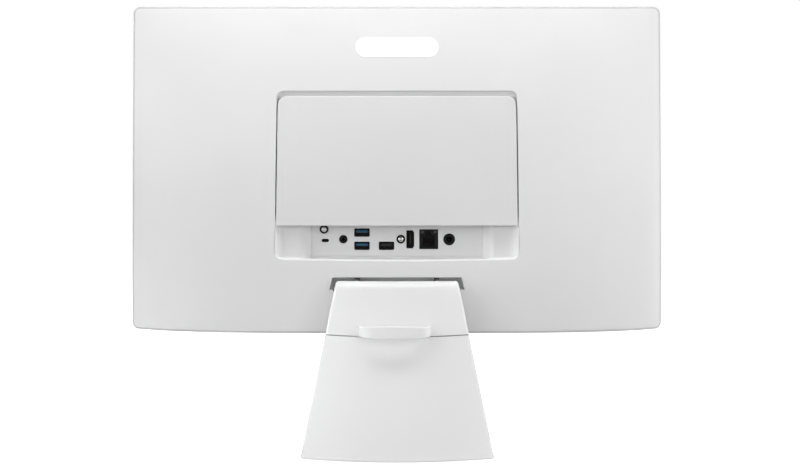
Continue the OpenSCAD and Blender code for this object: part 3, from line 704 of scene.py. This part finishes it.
def usb_places():
    """Middles of the sockets: the upper and the lower fast one, and the plain one."""
    low, high = box("usb3_shells")
    half = (USB_HOLE[1] - 0.2) / 2
    x = (low[0] + high[0]) / 2
    plain = centre("usb2_shell")
    return (x, high[2] - half), (x, low[2] + half), (plain[0], plain[2])


def screw_places():
    low, high = box("io_screws")
    return (low[0] + SCREW_R, low[2] + SCREW_R), (high[0] - SCREW_R, high[2] - SCREW_R)


def place(node):
    """Middle of a node's box in X and Z."""
    middle = centre(node)
    return middle[0], middle[2]


def make_port_panel():
    """Panel with a rounded opening for each socket, and a boss beside the upper screw."""
    build = Build()
    holes = [rectangle_at(x, z, *USB_HOLE, 1.0) for x, z in usb_places()]
    holes.append(polygon_at(*place("hdmi_port"), HDMI_CORNERS))
    holes.append(rectangle_at(*place("lan_port"), *LAN_HOLE, 0.6))
    holes.append(rectangle_at(*place("lock_slot_plate"), *LOCK_SLOT, 1.55))
    holes.append(circle_at(*place("dc_jack"), DC_R))
    holes.append(circle_at(*place("audio_jack"), AUDIO_R))
    flat = lambda x, z: np.full(len(x), PANEL_Y)
    openings = [edge_rings(hole, flat, 0.35, 3, 0.0, -1) for hole in holes]
    window = panel_window()
    build.sheet(window, flat, [rings[0][:, [0, 2]] for rings in openings], 4.0)
    for hole, rings in zip(holes, openings):
        build.strip(rings + [lift(hole(), PANEL_Y - 2)])
    build.strip([lift(window, PANEL_Y), lift(window, PANEL_Y - 2)], flip=True)
    x, z = screw_places()[1]
    arc = np.linspace(math.radians(125), math.radians(235), 14)
    section = [(4.5, 0), (4.7, 0.35), (5.1, 0.5), (5.5, 0.35), (5.7, -0.1)]
    rings = [[(x + r * math.cos(a), PANEL_Y + y, z + r * math.sin(a)) for r, y in section] for a in arc]
    build.strip(rings, closed=False, flip=True)
    panel = build.object("socket_panel", "shell_white", "display", 35, replaces=["port_panel"], facing=REAR)
    weighted(panel)


def make_lock_well():
    """Dark well behind the lock slot."""
    cx, cz = place("lock_slot_plate")
    back = box("lock_slot_plate")[0][1] - 0.05
    build = Build()
    sleeve(build, rectangle_at(cx, cz, LOCK_SLOT[0] + 1.6, LOCK_SLOT[1] + 1.6, 1.0), 0.4, back - 4, back, back - 3.6)
    build.object("lock_well", "black_plastic", "display", 35)


def make_usb(name, tongue_name, spots, tongue_slot, node, tongue_node):
    """Sleeves with their springs, and tongues with contacts on their lower side."""
    build, tongues = Build(), Build()
    for x, z in spots:
        sleeve(build, rectangle_at(x, z, USB_HOLE[0] - 0.2, USB_HOLE[1] - 0.2, 0.9), 0.45, BOARD_Y, PORT_Y,
               CAVITY_Y)
        for side in (-3.2, 3.2):
            for level, lean in ((USB_HOLE[1] / 2 - 0.55, -0.5), (-USB_HOLE[1] / 2 + 0.55, 0.5)):
                spring = [(x + side - 0.9, PORT_Y - 7, z + level), (x + side + 0.9, PORT_Y - 7, z + level),
                          (x + side + 0.9, PORT_Y - 2.2, z + level + lean),
                          (x + side - 0.9, PORT_Y - 2.2, z + level + lean),
                          (x + side + 0.9, PORT_Y - 1, z + level), (x + side - 0.9, PORT_Y - 1, z + level)]
                build.add(spring, [(0, 1, 2, 3), (3, 2, 4, 5), (5, 4, 1, 0), (0, 3, 5), (1, 4, 2)])
        bar(tongues, rectangle_at(x, z + 1, 11.6, 2.0, 0.3, 2), CAVITY_Y, PORT_Y - 1, 0.35)
    build.object(name, "port_steel", "display", 35, replaces=[node])
    tongues.object(tongue_name, tongue_slot, "display", 35, replaces=[tongue_node])
    contacts = Build()
    for x, z in spots:
        for k in range(4):
            cx = x - 3.5 + k * 7 / 3
            block(contacts, (cx - 0.5, CAVITY_Y + 1, z - 0.1), (cx + 0.5, PORT_Y - 1.8, z + 0.02))
    contacts.object(tongue_name + "_contacts", "brass", "display")


def make_hdmi():
    build = Build()
    cx, cz = place("hdmi_port")
    corners = [(x * 0.97, z * 0.988) for x, z in HDMI_CORNERS]
    sleeve(build, polygon_at(cx, cz, corners), 0.4, BOARD_Y, PORT_Y, CAVITY_Y)
    port = build.object("hdmi_sleeve", "port_steel", "display", 35, replaces=["hdmi_port"])
    tongue = Build()
    bar(tongue, rectangle_at(cx + 0.6, cz, 1.4, 11.6, 0.2, 2), CAVITY_Y, PORT_Y - 1, 0.3)
    tongue.object("hdmi_tongue", "black_plastic", "display", 35)
    contacts = Build()
    for k in range(10):
        z = cz - 4.5 + k
        block(contacts, (cx - 0.2, CAVITY_Y + 1, z - 0.25), (cx - 0.08, PORT_Y - 1.6, z + 0.25))
    contacts.object("hdmi_contacts", "brass", "display")
    return port


def make_network_port():
    """Shielded socket: black insert with a stepped notch, a row of contacts and two small windows."""
    cx, cz = place("lan_port")
    w, h = LAN_HOLE[0] - 0.2, LAN_HOLE[1] - 0.2
    shield = Build()
    sleeve(shield, rectangle_at(cx, cz, w, h, 0.5), 0.4, BOARD_Y, PORT_Y, CAVITY_Y)
    shield.object("network_shield", "port_steel", "display", 35)
    lip = Build()
    ring_at = rectangle_at(cx, cz, w - 2.3, h - 2.3, 0.3)
    profile = [(0.0, 0.6), (0.0, 0.25), (0.3, 0.25), (0.3, 0.6), (0.0, 0.6)]
    lip.strip([lift(ring_at(inset), PORT_Y - drop) for inset, drop in profile], flip=True)
    lip.object("network_lip", "port_steel", "display", 35)
    insert = Build()
    face = PORT_Y - 0.5
    notch = [(-5.9, -7.2), (5.9, -7.2), (5.9, 3.0), (3.1, 3.0), (3.1, 5.4), (2.0, 5.4), (2.0, 7.2),
             (-2.0, 7.2), (-2.0, 5.4), (-3.1, 5.4), (-3.1, 3.0), (-5.9, 3.0)]
    cavity = polygon_outline(notch, 0.0, 2.0) + np.array([cx, cz])
    mouth = polygon_outline(notch, -0.25, 2.0) + np.array([cx, cz])
    windows = [rectangle_at(cx + side * 6.2, cz + 6.9, 3.4, 2.4, 0.2, 2)() for side in (-1, 1)]
    outer = rectangle_at(cx, cz, w - 0.8, h - 0.8, 0.2, 2)()
    insert.sheet(outer, lambda x, z: np.full(len(x), face), [mouth, *windows], 3.0)
    insert.strip([lift(mouth, face), lift(cavity, face - 0.25), lift(cavity, CAVITY_Y + 0.1)])
    insert.fan(lift(cavity, CAVITY_Y + 0.1), flip=True)
    for window in windows:
        insert.strip([lift(window, face), lift(window, face - 1.6)])
        insert.fan(lift(window, face - 1.6), flip=True)
    block(insert, (cx - 5.2, CAVITY_Y, cz - 7.1), (cx + 5.2, PORT_Y - 6.5, cz - 5.2))
    insert.object("network_insert", "black_plastic", "display", 35, replaces=["lan_port"], facing=REAR)
    lenses = Build()
    for side in (-1, 1):
        bar(lenses, rectangle_at(cx + side * 6.2, cz + 6.9, 3.2, 2.2, 0.25, 2), face - 1.5, face + 0.15, 0.3)
    lenses.object("network_lights", "amber_lens", "display", 35, replaces=["lan_indicators"])
    contacts = Build()
    for k in range(8):
        x = cx - 3.57 + k * 1.02
        points = [(x - 0.2, PORT_Y - 6.5, cz - 5.3), (x + 0.2, PORT_Y - 6.5, cz - 5.3),
                  (x + 0.2, CAVITY_Y + 0.2, cz - 0.5), (x - 0.2, CAVITY_Y + 0.2, cz - 0.5)]
        points += [(px, py, pz - 0.3) for px, py, pz in points]
        contacts.add(points, [(0, 1, 2, 3), (7, 6, 5, 4), (0, 4, 5, 1), (1, 5, 6, 2), (2, 6, 7, 3), (3, 7, 4, 0)])
    contacts.object("network_contacts", "brass", "display")


def make_round_ports():
    """Power inlet with its centre pin, and the headset socket with its metal mouth."""
    cx, cz = place("dc_jack")
    inlet = Build()
    revolve(inlet, cx, cz, [(0.0, BOARD_Y), *rounded_profile(DC_R - 0.1, BOARD_Y, PORT_Y, 0.4, 3.1, CAVITY_Y)[1:]])
    inlet.object("power_inlet_body", "black_plastic", "display", 35, replaces=["dc_jack"])
    pin = Build()
    revolve(pin, cx, cz, [(0.0, CAVITY_Y - 0.5), (1.0, CAVITY_Y - 0.5), (1.0, PORT_Y - 1.8), (0.6, PORT_Y - 1.2),
                          (0.0, PORT_Y - 1.2)], 24)
    revolve(pin, cx, cz, [(3.1, PORT_Y - 3), (3.1, PORT_Y - 0.5), (3.0, PORT_Y - 0.35), (2.8, PORT_Y - 0.35),
                          (2.75, PORT_Y - 0.5), (2.75, PORT_Y - 3), (3.1, PORT_Y - 3)], 40)
    pin.object("power_inlet_pin", "port_steel", "display", 35)
    cx, cz = place("audio_jack")
    jack = Build()
    revolve(jack, cx, cz, [(0.0, BOARD_Y), *rounded_profile(AUDIO_R - 0.1, BOARD_Y, PORT_Y, 0.35, 1.75,
                                                            CAVITY_Y)[1:]])
    jack.object("headset_socket", "black_plastic", "display", 35, replaces=["audio_jack"])
    ring = Build()
    revolve(ring, cx, cz, [(2.55, PORT_Y - 0.2), (2.55, PORT_Y + 0.05), (2.4, PORT_Y + 0.15), (2.0, PORT_Y + 0.15),
                           (1.8, PORT_Y - 0.05), (1.8, PORT_Y - 4), (2.1, PORT_Y - 4), (2.55, PORT_Y - 0.2)], 36)
    ring.object("headset_ring", "port_steel", "display", 35)


def cross_cutter(x, y, z, length, width, depth):
    """Tapering cross recess whose mouth lies at y."""
    build = Build()
    for turn in (0, 1):
        points = []
        for level, scale in ((y + 1, 1.0), (y - depth, 0.55)):
            for u, v in ((-1, -1), (1, -1), (1, 1), (-1, 1)):
                du, dv = u * length / 2 * scale, v * width / 2 * scale
                points.append((x + (dv if turn else du), level, z + (du if turn else dv)))
        build.add(points, [(0, 1, 2, 3), (7, 6, 5, 4), (0, 4, 5, 1), (1, 5, 6, 2), (2, 6, 7, 3), (3, 7, 4, 0)])
    return cutter_of(build)


def make_io_screws():
    """Pan-head screws with a cross recess, each on a black ring of painted shade that stands for the shadowed gap
    round its head.
    """
    top = box("io_screws")[1][1]
    for name, (x, z) in zip(("lower", "upper"), screw_places()):
        # painted shade: a black ring on the panel where the gap round the screw head lies in shadow
        painted_shade_ring = Build()
        revolve(painted_shade_ring, x, z, [(1.6, PANEL_Y + 0.02), (4.1, PANEL_Y + 0.02), (4.15, PANEL_Y + 0.2), (4.0, PANEL_Y + 0.4),
                               (2.6, PANEL_Y + 0.45), (1.6, PANEL_Y + 0.45), (1.6, PANEL_Y + 0.02)], 48)
        painted_shade_ring.object("panel_washer_" + name, "black_plastic", "display", 35, replaces=["io_screws"])
        build = Build()
        dome = [(2.45 * math.cos(a), top - 0.9 + 0.9 * math.sin(a)) for a in np.linspace(0.2, math.pi / 2, 7)]
        revolve(build, x, z, [(0.0, PANEL_Y - 8), (1.5, PANEL_Y - 8), (1.5, PANEL_Y + 0.5), (2.45, PANEL_Y + 0.5), *dome], 48)
        screw = build.object("panel_screw_" + name, "screw_steel", "display", 35, replaces=["io_screws"])
        cut(screw, cross_cutter(x, top, z, 3.2, 1.25, 1.7))
        finish_piece(screw, "screw_steel", "display", 35, ["io_screws"])


# ---- Display: badge and front ----------------------------------------------------------------


def make_badge():
    """Plain capsule with a rounded edge, standing a little proud of the shell."""
    low, high = box("rear_badge")
    half, z0, z1 = high[0], low[2], high[2]
    r = (z1 - z0) / 2 - 0.05
    outline = lambda inset: rounded_outline(half, z0, z1, [r] * 4, inset, arc=16, step=3.0)
    build = Build()
    proud = lambda x, z: rear_y(x, z) + 0.35
    top = edge_rings(outline, proud, 0.5, 4)
    build.sheet(top[0][:, [0, 2]], proud, (), 3.0)
    base = outline(0.0)
    build.strip(top + [lift(base, rear_y(base[:, 0], base[:, 1]) - 0.6)], flip=True)
    badge = build.object("capsule_badge", "badge_white", "display", 40, replaces=["rear_badge"], facing=REAR)
    weighted(badge)


def make_bezel():
    """Front frame: a tray with a round outer edge, a window for the screen and a hole for the camera."""
    build = Build()
    front, back = BEZEL_LOW[1], BEZEL_HIGH[1]
    wall, face = 1.3, front + 1.5
    window = rectangle_at(0, BOTTOM_Z + 159, 478, 270, 0.8)
    camera_x, camera_z = place("webcam_window")
    camera = circle_at(camera_x, camera_z, 2.6, 32)
    outer = lambda inset: rounded_outline(HALF_W, BOTTOM_Z, TOP_Z, [CORNER_R] * 4, inset, arc=12, step=6.0)
    r_front, r_back = 1.4, 1.25
    rings = []
    for k in range(6):
        a = math.pi / 2 * k / 5
        rings.append(lift(outer(r_front * (1 - math.sin(a))), front + r_front * (1 - math.cos(a))))
    for k in range(5):
        a = math.pi / 2 * k / 4
        rings.append(lift(outer(r_back * (1 - math.cos(a))), back - r_back * (1 - math.sin(a))))
    rings.append(lift(outer(wall), back - 0.1))
    rings.append(lift(outer(wall), face))
    build.strip(rings)
    openings = []
    for hole, edge in ((window, 0.5), (camera, 0.3)):
        around = [lift(hole(-edge * (1 - math.sin(a))), front + edge * (1 - math.cos(a)))
                  for a in np.linspace(0, math.pi / 2, 4)]
        openings.append(around)
        build.strip(around + [lift(hole(), face)], flip=True)
    build.sheet(rings[0][:, [0, 2]], lambda x, z: np.full(len(x), front),
                [around[0][:, [0, 2]] for around in openings], 12.0, flip=True)
    build.sheet(outer(wall), lambda x, z: np.full(len(x), face), [window(), camera()], 12.0)
    bezel = build.object("front_frame", "bezel_white", "display", 35, replaces=["front_bezel"])
    x, y, _ = centre("power_button")
    hole = Build()
    a = np.arange(40) * math.pi / 20
    ring = [(x + 3.9 * math.cos(t), y + 3.9 * math.sin(t)) for t in a]
    hole.strip([[(*p, z) for p in ring] for z in (BOTTOM_Z - 1, BOTTOM_Z + 3)])
    hole.fan([(*p, BOTTOM_Z - 1) for p in ring])
    hole.fan([(*p, BOTTOM_Z + 3) for p in ring])
    cut(bezel, cutter_of(hole))
    finish_piece(bezel, "bezel_white", "display", 35, ["front_bezel"])
    weighted(bezel)


def make_power_button():
    """Round button with a dished face and a soft edge, under the chin."""
    low, high = box("power_button")
    x, y = (low[0] + high[0]) / 2, (low[1] + high[1]) / 2
    r, flange = 3.5, high[0] - x
    z0, z1 = low[2], high[2]
    profile = [(0.0, z0 + 0.35), (1.2, z0 + 0.3), (2.2, z0 + 0.15), (2.9, z0), (3.2, z0 + 0.05), (r, z0 + 0.4),
               (r, z1 - 1.2), (flange, z1 - 1.2), (flange, z1), (0.0, z1)]
    a = np.arange(40) * math.pi / 20
    build = Build()
    build.strip([np.column_stack([x + q * np.cos(a), y + q * np.sin(a), np.full(40, z)]) for q, z in profile])
    build.object("power_key", "bezel_white", "power_button", 35, replaces=["power_button"])


def make_camera_ring():
    """Ring round the camera's window, with the lens behind it."""
    cx, cz = place("webcam_window")
    front = BEZEL_LOW[1]
    build = Build()
    profile = [(2.5, front + 0.25), (2.2, front + 0.1), (1.9, front + 0.3), (1.6, front + 0.9), (0.8, front + 0.7),
               (0.0, front + 0.6)]
    revolve(build, cx, cz, [(0.0, front + 1.4), (2.5, front + 1.4), *profile], 32)
    build.object("webcam_lens", "screen_black", "display", 35, replaces=["webcam_window"])


# ---- Stand ----------------------------------------------------------------------------------


def slant_point(x, depth_y, along):
    """Point given on the slanted neck, in the frame."""
    c, s = math.cos(SLANT), math.sin(SLANT)
    return np.column_stack([x, HINGE[1] + depth_y * c - along * s, HINGE[2] + depth_y * s + along * c])


def neck_half(along):
    return NECK_HALF_TOP - NECK_FLARE * along


def section(edge, steps=6, across=28, depth=NECK_T, low_steps=5):
    """Neck section from its left side round the rear face to its right side.

    Rows of share of the half width, inset from the side and depth below the rear face."""
    right = [(1.0, 0.0, edge + (depth - edge) * (1 - k / low_steps)) for k in range(low_steps)]
    for k in range(steps + 1):
        a = math.pi / 2 * (1 - k / steps)
        right.append((1.0, edge * (1 - math.sin(a)), edge * (1 - math.cos(a))))
    middle = [(1 - 2 * k / across, edge * (1 - abs(1 - 2 * k / across)) * 0, 0.0) for k in range(1, across)]
    left = [(-s, i, d) for s, i, d in reversed(right)]
    return np.array(right), np.array(middle), np.array(left)


def neck_rows(edge, stations, depth=NECK_T):
    """Rings of the neck's outer surface, one per station.

    A station is (along or None, level or None, shrink, angle): its place along the neck, or
    the level it is cut at, how far its section is drawn in, and the angle round the roll."""
    right, middle, left = section(edge)
    rows = []
    for along, level, shrink, angle in stations:
        parts = []
        bow = SEAM_BOW if level is not None and abs(level - SEAM_Z) < 1.5 else 0.0
        for part in (right, middle, left):
            share, inset, down = part[:, 0], part[:, 1].copy(), part[:, 2].copy()
            down = down + shrink * (down < depth - 0.01)
            at = np.full(len(share), 0.0 if along is None else along)
            for _ in range(4):
                half = neck_half(at) - shrink
                x = np.where(np.abs(share) == 1, np.sign(share) * (half - inset), share * (half - edge))
                if angle:
                    centre = -0.35 * x ** 2 / (2 * NECK_R)
                    reach = np.maximum(ROLL_R - x ** 2 / (2 * NECK_R) - centre - down, 0.0)
                    height = np.maximum(ROLL_R - np.minimum(down, ROLL_R), 0.0)
                    height *= 0.97 - 0.06 * np.maximum(1 - (x / 50) ** 2, 0)
                    y = centre + reach * math.cos(angle)
                    at = height * math.sin(angle)
                else:
                    y = ROLL_R - x ** 2 / (2 * NECK_R) - down
                    if level is not None:
                        at = (level - HINGE[2] - y * math.sin(SLANT)) / math.cos(SLANT)
                        at = at - bow * (1 - np.minimum(np.abs(x) / half, 1) ** 2)
            parts.append(slant_point(x, y, at))
        rows.append(np.concatenate(parts))
    return rows


def make_arm():
    build = Build()
    edge = 2.4
    seam = SEAM_Z + SEAM_GAP / 2
    stations = [(None, seam, 0.5, 0), (None, seam + 0.15, 0.2, 0), (None, seam + 0.5, 0, 0)]
    stations += [(None, seam + 0.5 + (HINGE[2] - 3 - seam) * k / 8, 0, 0) for k in range(1, 9)]
    stations += [(0.0, None, 0, 0)]
    stations += [(0.0, None, 0, math.radians(112) * k / 14) for k in range(1, 15)]
    build.strip(neck_rows(edge, stations, 9.4), closed=False)
    arm = build.object("arm_skin", "stand_white", "stand", 50, replaces=["arm_rear_cover"], facing=REAR)
    thicken(arm, 2.0)
    weighted(arm)
    return arm


def make_base():
    build = Build()
    edge = 2.7
    seam = SEAM_Z - SEAM_GAP / 2
    stations = [(None, seam, 0.5, 0), (None, seam - 0.15, 0.2, 0), (None, seam - 0.5, 0, 0)]
    step = FOOT_UNDER + 3.4
    stations += [(None, seam - 0.5 + (step - seam + 0.5) * k / 20, 0, 0) for k in range(1, 21)]
    stations += [(None, step - 0.5, -0.25, 0), (None, step - 1.0, -0.3, 0)]
    low = FOOT_UNDER + 1.1
    for k in range(5):
        a = math.pi / 2 * k / 4
        stations.append((None, low - 1.1 * math.sin(a), -0.3 + 0.9 * (1 - math.cos(a)), 0))
    rows = neck_rows(edge, stations)
    build.strip(rows, flip=True, closed=False)
    neck = build.object("stand_neck_skin", "stand_white", "stand", 50, replaces=["stand_base"], facing=REAR)
    thicken(neck, 2.2)
    weighted(neck)
    return neck


def foot_outline(inset):
    """Outline of the foot in plan: x and y."""
    half, r, front = 82.5 - inset, 28 - inset, box("stand_base")[0][1] + inset
    points = []
    for k in range(13):
        a = math.radians(180 + 90 * k / 12)
        points.append((-half + r + r * math.cos(a), front + r + r * math.sin(a)))
    for k in range(13):
        a = math.radians(270 + 90 * k / 12)
        points.append((half - r + r * math.cos(a), front + r + r * math.sin(a)))
    back = 96.0
    points += [(half, 20), (half, 84)]
    points += [(x, back - x ** 2 / (2 * NECK_R) - inset) for x in np.linspace(half - 2, -half + 2, 20)]
    points += [(-half, 84), (-half, 20)]
    return np.array(points)


def make_foot():
    build = Build()
    edge = 2.4
    rings = []
    for k in range(6):
        a = math.pi / 2 * k / 5
        flat = foot_outline(edge * (1 - math.sin(a)))
        rings.append(np.column_stack([flat, np.full(len(flat), FOOT_TOP - edge * (1 - math.cos(a)))]))
    flat = foot_outline(0.0)
    rings.append(np.column_stack([flat, np.full(len(flat), FOOT_UNDER + 0.6)]))
    flat = foot_outline(0.6)
    rings.append(np.column_stack([flat, np.full(len(flat), FOOT_UNDER)]))
    flat = foot_outline(2.3)
    rings.append(np.column_stack([flat, np.full(len(flat), FOOT_UNDER)]))
    rings.append(np.column_stack([flat, np.full(len(flat), 5.5)]))
    build.strip(rings, flip=True)
    build.fan(rings[0])
    build.fan(rings[-1], flip=True)
    foot = build.object("foot_skin", "stand_white", "stand", 40)
    weighted(foot)
    return foot


def make_cable_holder():
    """Bowed strap swept along a superellipse, fullest in its middle, with soft long edges."""
    low, high = box("cable_holder")
    cx, half = (low[0] + high[0]) / 2, (high[0] - low[0]) / 2
    root, reach, power, thick, soft, sharp = 62.0, high[1] - 62.0, 0.56, 3.3, 1.2, 0.45
    path, rise = [], []
    for t in np.linspace(0, math.pi, 61):
        c, q = math.cos(t), max(math.sin(t), 0.0)
        path.append((cx + half * math.copysign(abs(c) ** power, c), root + reach * q ** power))
        rise.append(min(abs(c), 1) ** 1.6)
    path = np.array(path)
    ahead = np.roll(path, -1, axis=0) - np.roll(path, 1, axis=0)
    ahead[0], ahead[-1] = (0, 1), (0, -1)
    ahead /= np.linalg.norm(ahead, axis=1)[:, None]
    inward = np.column_stack([-ahead[:, 1], ahead[:, 0]])
    rings = []
    for (px, py), (ix, iy), drop in zip(path, inward, rise):
        top, bottom = high[2] - 1.7 * drop, low[2] + 0.3 + 0.6 * drop
        corners = [(soft, soft, top - soft, 180, 90), (soft, thick - soft, top - soft, 90, 0),
                   (sharp, thick - sharp, bottom + sharp, 0, -90), (sharp, sharp, bottom + sharp, -90, -180)]
        ring = []
        for r, d, z, start, end in corners:
            for a in np.radians(np.linspace(start, end, 6)):
                level = z + r * math.sin(a)
                depth = d + r * math.cos(a) + LOOP_LEAN * (1 - drop) * (level - bottom) / (top - bottom)
                ring.append((px + ix * depth, py + iy * depth, level))
        rings.append(ring)
    build = Build()
    build.strip(rings)
    build.fan(rings[0])
    build.fan(rings[-1], flip=True)
    holder = build.object("cable_loop", "stand_white", "stand", 45, replaces=["cable_holder"])
    weighted(holder)


# ---- Scene ----------------------------------------------------------------------------------


def make_camera():
    """Level camera behind the object, with its horizon at a third of the display's height."""
    data = bpy.data.cameras.new("camera")
    camera = bpy.data.objects.new("camera", data)
    bpy.context.collection.objects.link(camera)
    distance = 1050.0
    height = BOTTOM_Z + 152.2
    camera.location = (0.0045, (RIM_Y + distance) / 1000, height / 1000)
    camera.rotation_euler = (math.radians(90), 0, math.radians(180))
    data.sensor_width = 36
    data.lens = 48.96
    data.shift_x = 0.0098
    data.shift_y = -0.0812
    bpy.context.scene.camera = camera


def area_light(name, place, aim, size, power, spread=180):
    """Soft light that the camera doesn't see. Its spread, in degrees, narrows its beam."""
    data = bpy.data.lights.new(name, "AREA")
    data.shape = "RECTANGLE"
    data.size, data.size_y = size
    data.energy = power
    data.spread = math.radians(spread)
    lamp = bpy.data.objects.new(name, data)
    bpy.context.collection.objects.link(lamp)
    lamp.location = place
    lamp.rotation_euler = (Vector(aim) - Vector(place)).to_track_quat("-Z", "Y").to_euler()
    lamp.visible_camera = False
    return lamp


def make_studio():
    scene = bpy.context.scene
    scene.view_settings.view_transform = "Standard"
    world = bpy.data.worlds.new("studio")
    scene.world = world
    world.use_nodes = True
    nodes, links = world.node_tree.nodes, world.node_tree.links
    nodes["Background"].inputs["Color"].default_value = (1, 1, 1, 1)
    nodes["Background"].inputs["Strength"].default_value = 0.0
    seen = nodes.new("ShaderNodeBackground")
    seen.inputs["Color"].default_value = (1, 1, 1, 1)
    seen.inputs["Strength"].default_value = 1.0
    path = nodes.new("ShaderNodeLightPath")
    mix = nodes.new("ShaderNodeMixShader")
    links.new(path.outputs["Is Camera Ray"], mix.inputs["Fac"])
    links.new(nodes["Background"].outputs["Background"], mix.inputs[1])
    links.new(seen.outputs["Background"], mix.inputs[2])
    links.new(mix.outputs["Shader"], nodes["World Output"].inputs["Surface"])

    bpy.ops.mesh.primitive_circle_add(vertices=96, radius=12, fill_type="NGON", location=(0, 0, 0))
    floor = bpy.context.object
    floor.name = "floor"
    material, nodes, links, shader = new_material("floor")
    links.new(ramp(nodes, links, noise(nodes, links, 1.5, 2), (0.49, 0.49, 0.49), (0.51, 0.51, 0.51)),
              shader.inputs["Base Color"])
    shader.inputs["Roughness"].default_value = 0.9
    glow = nodes.new("ShaderNodeEmission")
    path = nodes.new("ShaderNodeLightPath")
    both = nodes.new("ShaderNodeAddShader")
    links.new(path.outputs["Is Camera Ray"], glow.inputs["Strength"])
    links.new(shader.outputs["BSDF"], both.inputs[0])
    links.new(glow.outputs["Emission"], both.inputs[1])
    links.new(both.outputs["Shader"], nodes["Material Output"].inputs["Surface"])
    floor.data.materials.append(material)

    area_light("front", (0, 2.4, 0.5), (0, 0, 0.3), (1.6, 1.0), 5.91)
    area_light("front_left", (1.7, 2.0, 0.5), (0, 0, 0.3), (1.0, 1.2), 9.81)
    area_light("key", (1.4, 0.7, 0.8), (0, 0, 0.2), (0.6, 0.6), 6.32)
    area_light("left_side", (1.6, 0.5, 0.5), (0, 0, 0.25), (0.5, 1.2), 3.07)
    area_light("right_near", (-0.9, 0.8, 0.55), (-0.1, 0, 0.35), (0.5, 0.9), 5.1)
    area_light("right_rim", (-1.6, 0.15, 0.45), (-0.2, 0.02, 0.3), (0.15, 0.9), 9.27)
    area_light("top_near", (0, 0.16, 0.85), (0, 0.02, 0.3), (1.0, 0.12), 3.4)
    area_light("top_left", (0.45, 0.4, 1.0), (0.1, 0, 0.35), (0.4, 0.4), 0.092)
    area_light("corner", (1.1, 0.5, 1.2), (0.25, 0, 0.4), (0.3, 0.3), 0.105, 25)
    area_light("neck", (1.0, 0.25, 0.15), (0.05, 0.08, 0.07), (0.2, 0.12), 0.052, 20)
    area_light("screen_side", (0.1, -1.6, 0.45), (0, 0, 0.25), (1.2, 0.6), 5.0, 90)

make_camera()
make_studio()

for obj in list(bpy.data.objects):
    if obj.type == "MESH" and obj.name in SLOT_OF:
        obj.data.materials.clear()
        obj.data.materials.append(MATERIALS[SLOT_OF[obj.name]])

make_rear_shell()
make_rim()
make_cover()
make_port_panel()
UPPER_USB, LOWER_USB, PLAIN_USB = usb_places()
make_usb("usb3_sleeves", "usb3_inserts", [UPPER_USB, LOWER_USB], "blue_plastic", "usb3_shells", "usb3_tongues")
make_usb("usb2_sleeve", "usb2_insert", [PLAIN_USB], "dark_plastic", "usb2_shell", "usb2_tongue")
make_hdmi()
make_network_port()
make_round_ports()
make_io_screws()
make_lock_well()
make_badge()
make_bezel()
make_power_button()
make_camera_ring()
make_arm()
make_base()
make_foot()
make_cable_holder()
